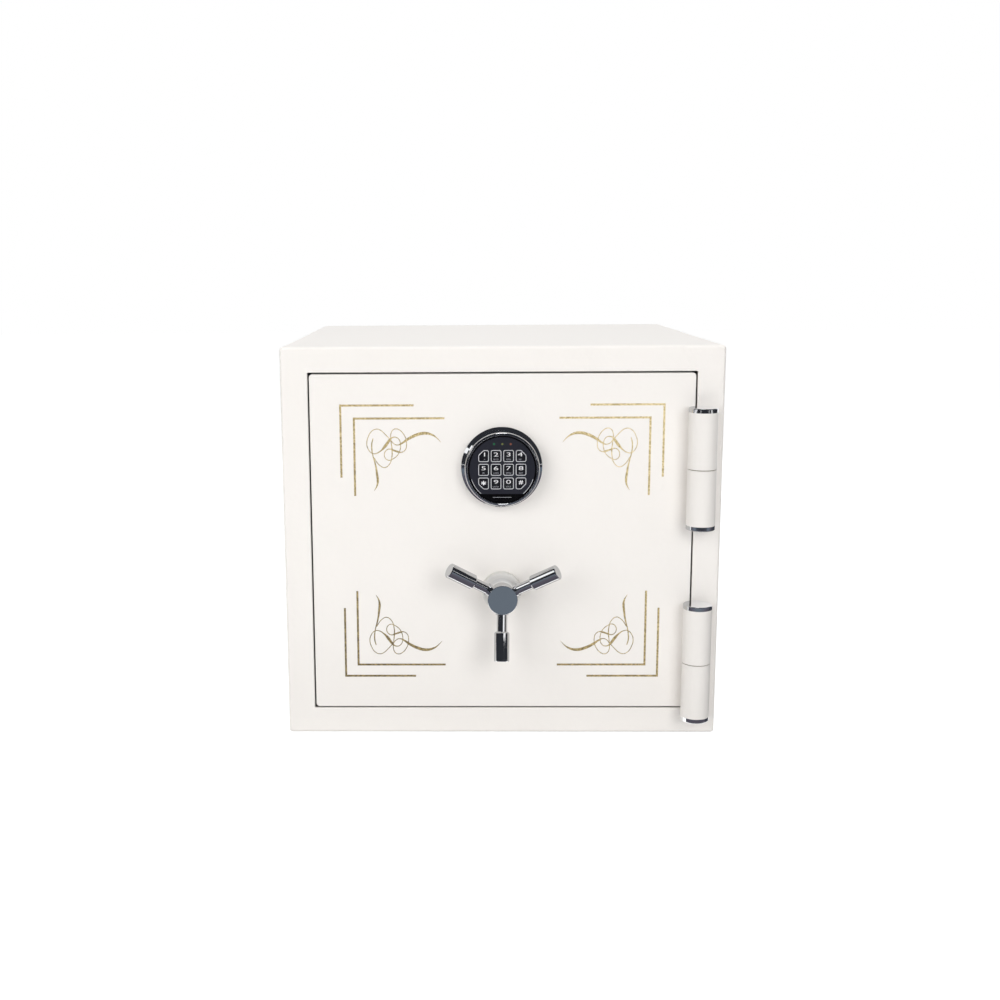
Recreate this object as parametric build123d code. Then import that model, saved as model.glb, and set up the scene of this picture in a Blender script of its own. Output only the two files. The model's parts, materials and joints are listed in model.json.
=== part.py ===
from build123d import *
import math
import os

# In-room safe, millimetres. +Z is up and the door faces -Y.
# The origin is the centre of the anchor hole pattern, on the underside of the cabinet.

# ---- cabinet ----
body_w = 540.0
body_d = 520.0
body_h = 490.0
body_edge_r = 4.0
casing_t = 3.0
frame_side = 33.5  # width of the frame face beside the door
frame_top = 31.0
frame_bottom = 33.0
frame_face_t = 3.0
frame_lip = 12.0  # how far the lip stands in from the door opening
frame_corner_r = 1.5
frame_edge_r = 1.5
jamb_end = 66.0  # depth of the jamb's rear edge, behind which the bolts engage
rear_recess = 2.0
rear_t = 3.0
rear_fill = 40.0
liner_t = 1.5
anchor_inset_x = 120.0  # from the sides
anchor_inset_y = 150.0  # from the front and the back
anchor_hole_r = 7.0
sleeve_wall = 3.0
mat_t = 3.0
mat_hole_margin = 3.0
mat_margin = 2.0

# ---- shelf ----
shelf_height = 212.0  # above the inside floor
shelf_t = 2.0
shelf_fold = 18.0
shelf_side_gap = 1.0
shelf_door_gap = 20.5  # behind the screw heads on the closed door
shelf_back_gap = 6.0
clip_len = 30.0
clip_leg = 22.0
clip_reach = 14.0
clip_t = 2.0
clip_inset = 40.0

# ---- door ----
door_gap = 2.0
door_corner_r = 4.0
door_edge_r = 1.0
skin_t = 5.0
skin_depth = 14.0
skin_wall = 3.0
pan_lip_gap = 6.0  # the back pan is this much further in than the lip
pan_t = 2.0
pan_plate_t = 4.0
seal_t = 1.5
seal_gap = 0.5  # between the closed door's seal and the lip
seal_inset = 5.5
seal_pan_gap = 3.0
hardplate_w = 140.0
hardplate_h = 260.0
hardplate_t = 6.0

# ---- hinges ----
hinge_r = 17.5
hinge_len = 149.0
hinge_cap_t = 5.5
hinge_cap_edge = 1.1
hinge_centres = (99.5, 342.5)  # heights of the two knuckle joints
hinge_face_gap = 1.0
hinge_offset = 4.5  # axis outward of the edge of the door opening
hinge_pin_r = 8.0
hinge_pin_end_gap = 1.0
hinge_fit = 0.05
hinge_washer_t = 1.0
hinge_washer_rim = 1.5
hinge_spigot = 7.0
web_margin = 1.0
door_web_w = 6.0
body_web_w = 17.0

# ---- boltwork ----
box_pan_step = 12.0  # the bolt box is this much further in than the back pan
box_t = 2.0
box_room = 16.5  # behind the bolts
box_flange = 12.0
trim_t = 1.5
trim_screw_r = 2.0
trim_head_r = 4.0
trim_head_t = 2.0
bolt_r = 11.0
bolt_len = 40.0
bolt_pitch = 125.0
bolt_count = 3
bolt_stand = 3.5  # between the bolts and the back pan
bolt_proud = 0.5  # live bolt tips beyond the box when drawn back
bolt_liner_gap = 2.0  # live bolt tips to the liner when thrown
bolt_tip_chamfer = 1.5
bolt_fit = 0.1
bolt_screw_r = 3.0
bolt_screw_head_r = 5.0
bolt_screw_head_t = 6.0
bolt_screw_len = 22.0
guide_wall = 1.5
guide_flange_t = 3.0
guide_t = 8.0
dog_liner_gap = 3.0
dog_inner = 12.0
dog_collar_t = 4.0
carriage_t = 6.0
carriage_flange_t = 6.0
carriage_lip = 0.5  # the carriage plate's rear face behind the bolts
carriage_overhang = 18.0
slot_margin = 12.0  # metal beyond the ends of the carriage's slots
slide_gap = 0.3
post_r = 8.0
post_neck_r = 5.0
post_offset_z = 110.0
post_offset_x = 29.0  # from the carriage flange
post_cam_gap = 5.0
post_arm_z = 13.0
work_screw_r = 3.0
work_screw_head_r = 8.0
work_screw_head_t = 4.0
work_screw_len = 14.0

# ---- lock ----
lock_w = 60.0
lock_h = 84.0
lock_above_handle = 49.0
lock_back = 4.0
lock_edge_r = 2.0
lock_ear_w = 18.0
lock_ear_t = 10.0
lock_ear_inset = 14.0
lock_bolt_w = 12.0
lock_bolt_t = 10.0
lock_bolt_edge = 1.0
lock_bolt_hold = 18.0  # length that stays in the case when the lock bolt is out
lock_travel = 10.0
lock_fit = 0.1
lock_socket = 5.0  # how far the lead reaches into the lock case
lug_gap = 3.0
lug_end_gap = 1.0
lug_clear = 2.0

# ---- handle ----
handle_z = 187.0
hub_r = 18.1
hub_front = 49.5  # in front of the door face
hub_edge = 0.3
rose_r = 24.3
rose_top_r = 21.8
rose_rim = 7.0
rose_t = 10.0
rose_bulge = (0.3, 0.72)  # where the side's arc passes, as parts of its width and height
spindle_r = 8.0
spindle_fit = 0.05
spindle_end = 1.0
sleeve_r = 12.0
sleeve_proud = 1.0
spindle_in_hub = 14.0
spoke_root = 31.0  # in front of the door face
spoke_tilt = 17.0
spoke_angles = (29.0, 149.0, 269.0)
spoke_r = 6.3
spoke_start = 9.0
spoke_collar_r = 7.8
spoke_collar_t = 3.5
grip_r = 9.2
grip_start = 42.7
grip_len = 36.1
grip_cap = 4.0
grip_edge = 0.8
grip_shoulder = 1.8  # bevel of the end toward the hub
grip_fit = 0.05
cam_r = 17.0
cam_tip_r = 11.0
cam_t = 8.5
cam_gap = 0.5
crank_pin_r = 5.0
crank_pin_proud = 4.0
crank_half_turn = 30.0
cam_slot_gap = 0.5
set_screw_r = 2.5
set_screw_len = 8.0

# ---- keypad ----
keypad_z = 342.5
key_w = 13.0
key_h = 14.7
key_space = 2.1
key_corner_r = 2.4
key_big_corner = 6.4
key_big_round = 3.0  # where the large corner's slope meets the sides
key_edge = 0.3
key_proud = 0.5
key_gap = 0.25
key_flange = 0.6
key_flange_t = 1.2
key_travel = 0.8
fascia_margin = 1.9  # beyond the corners of the block of keys
fascia_chord_gap = 5.7  # from the lowest keys to the straight lower edge
fascia_t = 2.0
fascia_edge = 0.5
seam = 0.1  # between the fascia and the pieces round it
surround_w = 1.6
surround_gap = 0.2
ring_drop = 0.4  # surround ring below the fascia's front
bezel_wall = 8.1  # from the throat to the outside of the flange
bezel_flange_w = 3.6
bezel_flange_t = 1.2
bezel_flange_rise = 2.0  # of the flange's sloping front
bezel_taper = 0.5
bezel_rim_h = 2.8  # height of the rounded rim
bezel_crest_w = 0.9  # from the throat to the top of the rim
bezel_proud = 2.0
keypad_base_t = 2.0
keypad_base_gap = 0.5
board_margin = 2.8
board_t = 1.6
board_post_r = 2.5
board_post_inset = 6.0
board_post_angle = 50.0
led_r = 1.3
led_pitch = 10.0
led_key_gap = 7.2
cell_r = 5.2
cell_len = 44.5
cell_gap = 1.2
cell_count = 3
cell_seat_gap = 0.1
cell_end_t = 2.0
cell_board_gap = 1.45
lead_r = 1.5
lead_cell_gap = 5.2
lead_hole_gap = 0.5
lead_start = 10.0  # in front of the door face
lead_lock_inset = 6.0

# ---- worked out from the above ----
front_y = -body_d / 2
hinge_x = body_w / 2 - frame_side + hinge_offset
hinge_y = front_y - hinge_r - hinge_face_gap
body_rect = (-body_w / 2, body_w / 2, 0, body_h)
opening_rect = (
    -body_w / 2 + frame_side,
    body_w / 2 - frame_side,
    frame_bottom,
    body_h - frame_top,
)
frame_step = skin_depth + seal_t + seal_gap  # from the front face back to the sealing lip
pan_inset = frame_lip + pan_lip_gap  # from the door's edge in to the side of the back pan
box_inset = pan_inset + box_pan_step
seal_w = pan_inset - seal_inset - seal_pan_gap
guide_r = bolt_r + guide_wall
collar_r = bolt_r + bolt_stand - slide_gap  # clear of the back pan
bolt_centre = jamb_end + bolt_stand + bolt_r  # depth of the bolt axes
box_end = bolt_centre + bolt_r + box_room
throw = box_inset + door_gap - liner_t - bolt_proud - bolt_liner_gap
crank_r = throw / (2 * math.sin(math.radians(crank_half_turn)))
crank_x = throw / 2
crank_z = handle_z - crank_r * math.cos(math.radians(crank_half_turn))
shelf_front = box_end + trim_t + trim_head_t + shelf_door_gap
carriage_rear = bolt_centre + bolt_r + carriage_lip
carriage_front = carriage_rear - carriage_t
lock_bottom = handle_z + lock_above_handle
lock_bolt_len = lock_travel + lock_bolt_hold
lock_bolt_centre = carriage_rear - lock_bolt_t / 2
lock_end = carriage_rear + lock_back
lug_x = lock_bolt_w / 2 + lug_gap
lug_w = throw - lug_gap - lock_bolt_w - lug_end_gap
grip_end = grip_start + grip_len
key_pitch_x = key_w + key_space
key_pitch_z = key_h + key_space
keys_x = 1.5 * key_pitch_x + key_w / 2  # half the block of keys
keys_z = key_pitch_z + key_h / 2
fascia_r = math.hypot(keys_x, keys_z) + fascia_margin
fascia_chord = keys_z + fascia_chord_gap
surround_r = fascia_r + surround_w
bezel_throat_r = surround_r + surround_gap
bezel_r = bezel_throat_r + bezel_wall
bezel_neck_r = bezel_r - bezel_flange_w
bezel_rim_r = bezel_neck_r - bezel_taper
bezel_crest_r = bezel_throat_r + bezel_crest_w
board_r = fascia_r - board_margin
led_height = keys_z + led_key_gap
cell_pitch = 2 * cell_r + cell_gap
cell_axis = keypad_base_t + cell_seat_gap + cell_r
board_back = cell_axis + cell_r + cell_board_gap
board_front = board_back + board_t
flange_back = board_front + slide_gap + key_travel
fascia_back = flange_back + key_flange_t + slide_gap / 2
fascia_front = fascia_back + fascia_t
bezel_t = fascia_front + bezel_proud
cells_top = (cell_count - 1) / 2 * cell_pitch + cell_r
lead_z = keypad_z + cells_top + lead_cell_gap
lead_depth = lock_end - lead_lock_inset
lead_hole_r = lead_r + lead_hole_gap


# Every piece that only cuts runs 1 mm past the metal it cuts.
def inset(rect, d):
    # the rectangle moved in by d on every side
    x0, x1, z0, z1 = rect
    return (x0 + d, x1 - d, z0 + d, z1 - d)


def block(rect, d0, d1):
    # a block over a front rectangle, from depth d0 to depth d1 behind the front face
    x0, x1, z0, z1 = rect
    place = Pos((x0 + x1) / 2, front_y + (d0 + d1) / 2, (z0 + z1) / 2)
    return place * Box(x1 - x0, d1 - d0, z1 - z0)


def ring(outer, inner, d0, d1):
    return block(outer, d0, d1) - block(inner, d0 - 1, d1 + 1)


def rod_in(x, z, r, d0, d1):
    # a round bar running front to back
    plane = Plane(origin=(x, front_y + d0, z), x_dir=(1, 0, 0), z_dir=(0, 1, 0))
    return plane * Cylinder(r, d1 - d0, align=(Align.CENTER, Align.CENTER, Align.MIN))


def rod_across(x0, x1, depth, z, r):
    # a round bar running left to right
    plane = Plane(origin=(x0, front_y + depth, z), x_dir=(0, 1, 0), z_dir=(1, 0, 0))
    return plane * Cylinder(r, x1 - x0, align=(Align.CENTER, Align.CENTER, Align.MIN))


def rod_up(x, y, z0, z1, r):
    return Pos(x, y, z0) * Cylinder(r, z1 - z0, align=(Align.CENTER, Align.CENTER, Align.MIN))


def rod_along(start, direction, r, s0, s1):
    # a round bar along a slanted line, from distance s0 to s1 of its start
    plane = Plane(origin=start, z_dir=direction)
    bar = Cylinder(r, s1 - s0, align=(Align.CENTER, Align.CENTER, Align.MIN))
    return plane * Pos(0, 0, s0) * bar


def on_face(x, z):
    # local x right, local y up, local z out of the door face
    return Plane(origin=(x, front_y, z), x_dir=(1, 0, 0), z_dir=(0, -1, 0))


def save(name, shape):
    solids = shape.solids() if hasattr(shape, "solids") else [s for p in shape for s in p.solids()]
    export_step(Compound(children=list(solids)) if len(solids) > 1 else solids[0], f"parts/{name}.step")


os.makedirs("parts", exist_ok=True)

# ---- rectangles that the pieces share ----
casing_rect = inset(body_rect, casing_t)
step_rect = inset(opening_rect, -frame_face_t)
jamb_rect = inset(opening_rect, frame_lip)
jamb_back_rect = inset(jamb_rect, -frame_face_t)
liner_rect = inset(opening_rect, liner_t)
door_rect = inset(opening_rect, door_gap)
skin_rect = inset(door_rect, skin_wall)
pan_rect = inset(door_rect, pan_inset)
pan_inner_rect = inset(pan_rect, pan_t)
box_rect = inset(door_rect, box_inset)
box_inner_rect = inset(box_rect, box_t)
floor_z = frame_bottom + liner_t
door_mid_z = (door_rect[2] + door_rect[3]) / 2
rear_front = body_d - rear_recess - rear_t  # depth of the rear panel's front face
liner_end = rear_front - rear_fill
plate_front = jamb_end - pan_plate_t

anchor_x = body_w / 2 - anchor_inset_x
anchor_y = body_d / 2 - anchor_inset_y
anchor_places = [(sx * anchor_x, sy * anchor_y) for sx in (-1, 1) for sy in (-1, 1)]


# ---- cabinet ----
def anchor_holes(r):
    return [rod_up(x, y, -1, floor_z + mat_t + 1, r) for x, y in anchor_places]


def outer_casing():
    outer = block(body_rect, frame_step, body_d)
    outer = fillet(outer.edges().filter_by(Axis.Y), body_edge_r)
    return outer - block(casing_rect, frame_step - 1, body_d + 1) - anchor_holes(anchor_hole_r)


def front_frame():
    outer = block(body_rect, 0, frame_step)
    outer = fillet(outer.edges().filter_by(Axis.Y), body_edge_r)
    outer = fillet(outer.faces().sort_by(Axis.Y)[0].edges(), body_edge_r)
    mouth = block(opening_rect, 0, frame_step)
    mouth = fillet(mouth.edges().filter_by(Axis.Y), frame_corner_r)
    frame = outer - mouth
    rim = [
        e
        for e in frame.faces().sort_by(Axis.Y)[0].edges()
        if abs(e.center().X) < opening_rect[1] + 1
        and opening_rect[2] - 1 < e.center().Z < opening_rect[3] + 1
    ]
    frame = fillet(rim, frame_edge_r)
    frame -= ring(casing_rect, step_rect, frame_face_t, frame_step)
    lip_end = frame_step + frame_face_t
    frame += ring(step_rect, jamb_rect, frame_step, lip_end)
    frame += ring(jamb_back_rect, jamb_rect, lip_end, jamb_end)
    frame += ring(opening_rect, jamb_rect, jamb_end - frame_face_t, jamb_end)
    return frame


def rear_panel():
    return block(casing_rect, rear_front, rear_front + rear_t)


def wall_fill():
    lip_end = frame_step + frame_face_t
    fill = block(casing_rect, frame_step, rear_front)
    fill += ring(casing_rect, step_rect, frame_face_t, frame_step)
    fill -= block(step_rect, frame_step, lip_end)
    fill -= block(jamb_back_rect, lip_end, jamb_end)
    fill -= block(opening_rect, jamb_end - frame_face_t, liner_end)
    return fill - anchor_holes(anchor_hole_r + sleeve_wall)


def inner_liner():
    # five sheets, seam welded along their edges
    x0, x1, z0, z1 = opening_rect
    inner_x0, inner_x1, inner_z0, inner_z1 = liner_rect
    sheets = [
        block((x0, inner_x0, z0, z1), jamb_end, liner_end),
        block((inner_x1, x1, z0, z1), jamb_end, liner_end),
        block((inner_x0, inner_x1, inner_z1, z1), jamb_end, liner_end),
        block(liner_rect, liner_end - liner_t, liner_end),
    ]
    floor = block((inner_x0, inner_x1, z0, inner_z0), jamb_end, liner_end)
    return sheets + [floor - anchor_holes(anchor_hole_r)]


def anchor_sleeves():
    return [
        rod_up(x, y, casing_t, frame_bottom, anchor_hole_r + sleeve_wall)
        - rod_up(x, y, casing_t - 1, frame_bottom + 1, anchor_hole_r)
        for x, y in anchor_places
    ]


def floor_mat():
    x0, x1, z0, z1 = inset(liner_rect, mat_margin)
    mat = block((x0, x1, floor_z, floor_z + mat_t), shelf_front, liner_end - liner_t - mat_margin)
    return mat - anchor_holes(anchor_hole_r + mat_hole_margin)


shelf_z = floor_z + shelf_height  # underside of the shelf sheet
shelf_end = liner_end - liner_t - shelf_back_gap


def shelf():
    x0, x1, z0, z1 = inset(liner_rect, shelf_side_gap)
    sheet = block((x0, x1, shelf_z, shelf_z + shelf_t), shelf_front, shelf_end)
    fold = (x0 + clip_reach, x1 - clip_reach, shelf_z - shelf_fold, shelf_z)
    sheet += block(fold, shelf_front, shelf_front + shelf_t)
    sheet += block(fold, shelf_end - shelf_t, shelf_end)
    return sheet


def shelf_clips():
    clips = []
    for depth in (shelf_front + clip_inset, shelf_end - clip_inset - clip_len):
        for side in (-1, 1):
            wall_x = side * liner_rect[1]
            leg = (min(wall_x, wall_x - side * clip_t), max(wall_x, wall_x - side * clip_t))
            arm = (min(wall_x, wall_x - side * clip_reach), max(wall_x, wall_x - side * clip_reach))
            clip = block((*leg, shelf_z - clip_leg, shelf_z), depth, depth + clip_len)
            clip += block((*arm, shelf_z - clip_t, shelf_z), depth, depth + clip_len)
            clips.append(clip)
    return clips


# ---- hinges ----
def hinge_levels(centre):
    # bottom, top of the lower cap, joint underside, joint top, foot of the upper cap, top
    low = centre - hinge_len / 2
    high = centre + hinge_len / 2
    half = hinge_washer_t / 2
    return low, low + hinge_cap_t, centre - half, centre + half, high - hinge_cap_t, high


def knuckle(z0, z1, web_x0, web_x1):
    web = Pos((web_x0 + web_x1) / 2, (hinge_y + front_y) / 2, (z0 + z1) / 2) * Box(
        web_x1 - web_x0, front_y - hinge_y, z1 - z0
    )
    tube = rod_up(hinge_x, hinge_y, z0, z1, hinge_r) + web
    return tube - rod_up(hinge_x, hinge_y, z0 - 1, z1 + 1, hinge_pin_r + hinge_fit)


def hinge_body_knuckles():
    web_x = opening_rect[1] + frame_edge_r + web_margin
    return [
        knuckle(hinge_levels(c)[1], hinge_levels(c)[2], web_x, web_x + body_web_w)
        for c in hinge_centres
    ]


def hinge_door_knuckles():
    web_x = door_rect[1] - door_edge_r - web_margin
    return [
        knuckle(hinge_levels(c)[3], hinge_levels(c)[4], web_x - door_web_w, web_x)
        for c in hinge_centres
    ]


def hinge_pins():
    return [
        rod_up(
            hinge_x,
            hinge_y,
            hinge_levels(c)[1] + hinge_spigot,
            hinge_levels(c)[4] - hinge_spigot - hinge_pin_end_gap,
            hinge_pin_r,
        )
        for c in hinge_centres
    ]


def hinge_washers():
    return [
        rod_up(hinge_x, hinge_y, hinge_levels(c)[2], hinge_levels(c)[3], hinge_r - hinge_washer_rim)
        - rod_up(
            hinge_x, hinge_y, hinge_levels(c)[2] - 1, hinge_levels(c)[3] + 1, hinge_pin_r + hinge_fit
        )
        for c in hinge_centres
    ]


def hinge_cap(z_rim, z_end):
    # a disc with a spigot into the knuckle; z_rim is the side that meets the knuckle
    way = 1 if z_rim > z_end else -1
    disc = rod_up(hinge_x, hinge_y, min(z_rim, z_end), max(z_rim, z_end), hinge_r)
    outer = disc.edges().filter_by(GeomType.CIRCLE).sort_by(Axis.Z)[0 if way > 0 else -1]
    disc = fillet(outer, hinge_cap_edge)
    tip = z_rim + way * hinge_spigot
    return disc + rod_up(hinge_x, hinge_y, min(z_rim, tip), max(z_rim, tip), hinge_pin_r)


def hinge_caps_lower():
    return [hinge_cap(hinge_levels(c)[1], hinge_levels(c)[0]) for c in hinge_centres]


def hinge_caps_upper():
    return [hinge_cap(hinge_levels(c)[4], hinge_levels(c)[5]) for c in hinge_centres]


# ---- door leaf ----
def spindle_hole(r):
    return rod_in(0, handle_z, r, -1, box_end)


def lead_hole():
    return rod_in(0, lead_z, lead_hole_r, -keypad_base_t - 1, jamb_end + 1)


def door_skin():
    skin = block(door_rect, 0, skin_depth)
    skin = fillet(skin.edges().filter_by(Axis.Y), door_corner_r)
    skin = fillet(skin.faces().sort_by(Axis.Y)[0].edges(), door_edge_r)
    skin -= block(skin_rect, skin_t, skin_depth + 1)
    return skin - spindle_hole(sleeve_r) - lead_hole()


def hardplate_block():
    mid = (handle_z + keypad_z) / 2
    rect = (-hardplate_w / 2, hardplate_w / 2, mid - hardplate_h / 2, mid + hardplate_h / 2)
    return block(rect, skin_t, skin_t + hardplate_t)


def door_fill():
    fill = block(skin_rect, skin_t, skin_depth - pan_t)
    fill += block(pan_inner_rect, skin_depth - pan_t, plate_front)
    return fill - hardplate_block() - spindle_hole(sleeve_r) - lead_hole()


def hardplate():
    return hardplate_block() - spindle_hole(sleeve_r) - lead_hole()


def door_back_pan():
    pan = ring(skin_rect, pan_inner_rect, skin_depth - pan_t, skin_depth)
    pan += ring(pan_rect, pan_inner_rect, skin_depth, plate_front)
    pan += block(pan_rect, plate_front, jamb_end)
    pan = pan - spindle_hole(sleeve_r) - lead_hole()
    for x, z in work_screw_places():
        pan -= rod_in(x, z, work_screw_r, plate_front - 1, jamb_end + 1)
    return pan


def fire_seal():
    outer = inset(door_rect, seal_inset)
    return ring(outer, inset(outer, seal_w), skin_depth, skin_depth + seal_t)


def spindle_sleeve():
    sleeve = rod_in(0, handle_z, sleeve_r, 0, jamb_end + sleeve_proud)
    return sleeve - spindle_hole(spindle_r + spindle_fit)


# ---- boltwork ----
bolt_heights = [
    door_mid_z + (i - (bolt_count - 1) / 2) * bolt_pitch for i in range(bolt_count)
]
carriage_outer_x = box_rect[0] - bolt_proud + bolt_len
carriage_inner_x = carriage_outer_x + carriage_flange_t
post_strip_x = carriage_inner_x + post_offset_x
post_arm_x = -cam_r - post_r - post_cam_gap
post_places = [
    (post_strip_x, door_mid_z - post_offset_z),
    (post_strip_x, door_mid_z + post_offset_z),
    (post_arm_x, handle_z + post_arm_z),
]
slot_half = post_neck_r + slide_gap
cam_slot_half = crank_pin_r + cam_slot_gap


def lock_screw_places():
    x = lock_w / 2 + lock_ear_w / 2
    levels = (lock_bottom + lock_ear_inset, lock_bottom + lock_h - lock_ear_inset)
    return [(side * x, z) for side in (-1, 1) for z in levels]


def work_screw_places():
    return post_places + lock_screw_places()


def bolt_box():
    box = ring(box_rect, box_inner_rect, jamb_end, box_end)
    box += ring(box_rect, inset(box_rect, box_flange + box_t), box_end - box_t, box_end)
    for z in bolt_heights:
        box -= rod_across(box_rect[0] - 1, box_inner_rect[0] + 1, bolt_centre, z, guide_r)
        box -= rod_across(box_inner_rect[1] - 1, box_rect[1] + 1, bolt_centre, z, bolt_r + bolt_fit)
    for x, z in trim_screw_places():
        box -= rod_in(x, z, trim_screw_r, box_end - box_t - 1, box_end + 1)
    return box


def bolt_guides():
    guides = []
    x0 = box_rect[0]
    for z in bolt_heights:
        guide = rod_across(x0, x0 + guide_t, bolt_centre, z, guide_r)
        flange_x = box_inner_rect[0]
        guide += rod_across(flange_x, flange_x + guide_flange_t, bolt_centre, z, collar_r)
        guides.append(guide - rod_across(x0 - 1, x0 + guide_t + 1, bolt_centre, z, bolt_r + bolt_fit))
    return guides


def dog_bolts():
    dogs = []
    dog_end = liner_rect[1] - dog_liner_gap
    for z in bolt_heights:
        dog = rod_across(box_inner_rect[1] - dog_inner, dog_end, bolt_centre, z, bolt_r)
        dog = chamfer(dog.edges().filter_by(GeomType.CIRCLE).sort_by(Axis.X)[-1], bolt_tip_chamfer)
        collar = (box_inner_rect[1] - dog_collar_t, box_inner_rect[1])
        dogs.append(dog + rod_across(*collar, bolt_centre, z, collar_r))
    return dogs


def live_bolts():
    bolts = []
    for z in bolt_heights:
        bolt = rod_across(box_rect[0] - bolt_proud, carriage_outer_x, bolt_centre, z, bolt_r)
        bolt = chamfer(bolt.edges().filter_by(GeomType.CIRCLE).sort_by(Axis.X)[0], bolt_tip_chamfer)
        bore = (carriage_outer_x - bolt_screw_len, carriage_outer_x + 1)
        bolts.append(bolt - rod_across(*bore, bolt_centre, z, bolt_screw_r))
    return bolts


def bolt_screws():
    shank_end = carriage_outer_x - bolt_screw_len + carriage_flange_t
    head = (carriage_inner_x, carriage_inner_x + bolt_screw_head_t)
    return [
        rod_across(shank_end, carriage_inner_x, bolt_centre, z, bolt_screw_r)
        + rod_across(*head, bolt_centre, z, bolt_screw_head_r)
        for z in bolt_heights
    ]


def guide_slot(x, z):
    # the slot lets the carriage move to -X by the throw
    rect = (x - slot_half, x + slot_half + throw, z - slot_half, z + slot_half)
    return block(rect, carriage_front - 1, carriage_rear + 1)


def bolt_carriage():
    z0 = bolt_heights[0] - carriage_overhang
    z1 = bolt_heights[-1] + carriage_overhang
    flange = (carriage_outer_x, carriage_inner_x, z0, z1)
    strip_end = post_strip_x + slot_half + throw + slot_margin
    strip = (carriage_inner_x, strip_end, z0, z1)
    arm_low = handle_z - crank_r - cam_slot_half - slot_margin
    arm_top = handle_z + post_arm_z + slot_half + slot_margin
    arm = (strip_end, crank_x + cam_slot_half + slot_margin, arm_low, arm_top)
    lug = (lug_x, lug_x + lug_w, arm_top, lock_bottom - lug_clear)
    plate = block(flange, bolt_centre - bolt_r, carriage_rear)
    plate += block(strip, carriage_front, carriage_rear)
    plate += block(arm, carriage_front, carriage_rear)
    plate += block(lug, carriage_front, carriage_rear)
    for x, z in post_places:
        plate -= guide_slot(x, z)
    half = cam_slot_half
    slot = (crank_x - half, crank_x + half, handle_z - crank_r - half, crank_z + half)
    plate -= block(slot, carriage_front - 1, carriage_rear + 1)
    for z in bolt_heights:
        plate -= rod_across(carriage_outer_x - 1, carriage_inner_x + 1, bolt_centre, z, bolt_screw_r)
    return plate


def carriage_posts():
    neck_end = carriage_rear + slide_gap
    posts = []
    for x, z in post_places:
        post = rod_in(x, z, post_r, jamb_end, carriage_front - slide_gap)
        post += rod_in(x, z, post_neck_r, jamb_end, neck_end)
        posts.append(post - rod_in(x, z, work_screw_r, neck_end - work_screw_len, neck_end + 1))
    return posts


def boltwork_screws():
    screws = []
    seats = [(x, z, carriage_rear + slide_gap) for x, z in post_places]
    seats += [(x, z, jamb_end + lock_ear_t) for x, z in lock_screw_places()]
    for x, z, seat in seats:
        screw = rod_in(x, z, work_screw_r, seat - work_screw_len, seat)
        screws.append(screw + rod_in(x, z, work_screw_head_r, seat, seat + work_screw_head_t))
    return screws


def trim_screw_places():
    x = box_rect[1] - box_t - box_flange / 2
    z0 = box_rect[2] + box_t + box_flange / 2
    z1 = box_rect[3] - box_t - box_flange / 2
    corners = [(sx * x, z) for sx in (-1, 1) for z in (z0, z1)]
    return corners + [(-x, (z0 + z1) / 2), (x, (z0 + z1) / 2), (0, z0), (0, z1)]


def door_trim():
    trim = block(box_rect, box_end, box_end + trim_t)
    for x, z in trim_screw_places():
        trim -= rod_in(x, z, trim_screw_r, box_end - 1, box_end + trim_t + 1)
    return trim


def trim_screws():
    head = box_end + trim_t
    return [
        rod_in(x, z, trim_screw_r, box_end - box_t, head)
        + rod_in(x, z, trim_head_r, head, head + trim_head_t)
        for x, z in trim_screw_places()
    ]


# ---- lock ----
def lock_case():
    half = lock_w / 2
    rect = (-half, half, lock_bottom, lock_bottom + lock_h)
    case = block(rect, jamb_end, lock_end)
    case = fillet(case.faces().sort_by(Axis.Y)[-1].edges(), lock_edge_r)
    ears = (-half - lock_ear_w, half + lock_ear_w, lock_bottom, lock_bottom + lock_h)
    case += block(ears, jamb_end, jamb_end + lock_ear_t)
    channel_half = lock_bolt_w / 2 + lock_fit
    channel_top = lock_bottom + lock_bolt_len + lug_clear
    channel = (-channel_half, channel_half, lock_bottom - 1, channel_top)
    reach = lock_bolt_t / 2 + lock_fit
    case -= block(channel, lock_bolt_centre - reach, lock_bolt_centre + reach)
    for x, z in lock_screw_places():
        case -= rod_in(x, z, work_screw_r, jamb_end - 1, jamb_end + lock_ear_t + 1)
    return case - rod_up(0, front_y + lead_depth, lock_bottom + lock_h - lock_socket, lead_z, lead_r)


def lock_bolt():
    half = lock_bolt_w / 2
    foot = lock_bottom + slide_gap
    rect = (-half, half, foot, foot + lock_bolt_len)
    bolt = block(rect, lock_bolt_centre - lock_bolt_t / 2, lock_bolt_centre + lock_bolt_t / 2)
    return chamfer(bolt.faces().sort_by(Axis.Z)[0].edges(), lock_bolt_edge)


def keypad_lead():
    # from the board straight back through the door, one bend, then down into the lock
    start = (0, front_y - lead_start, lead_z)
    corner = (0, front_y + lead_depth, lead_z)
    end = (0, front_y + lead_depth, lock_bottom + lock_h - lock_socket)
    bend_r = 0.45 * (corner[2] - end[2])  # a little under half the drop
    path = FilletPolyline(start, corner, end, radius=bend_r)
    section = Plane(origin=start, z_dir=(0, 1, 0)) * Circle(lead_r)
    return sweep(section, path)


# ---- handle ----
def spoke_direction(angle):
    a = math.radians(angle)
    t = math.radians(spoke_tilt)
    return (math.cos(a) * math.cos(t), -math.sin(t), math.sin(a) * math.cos(t))


spoke_origin = (0, front_y - spoke_root, handle_z)


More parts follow.
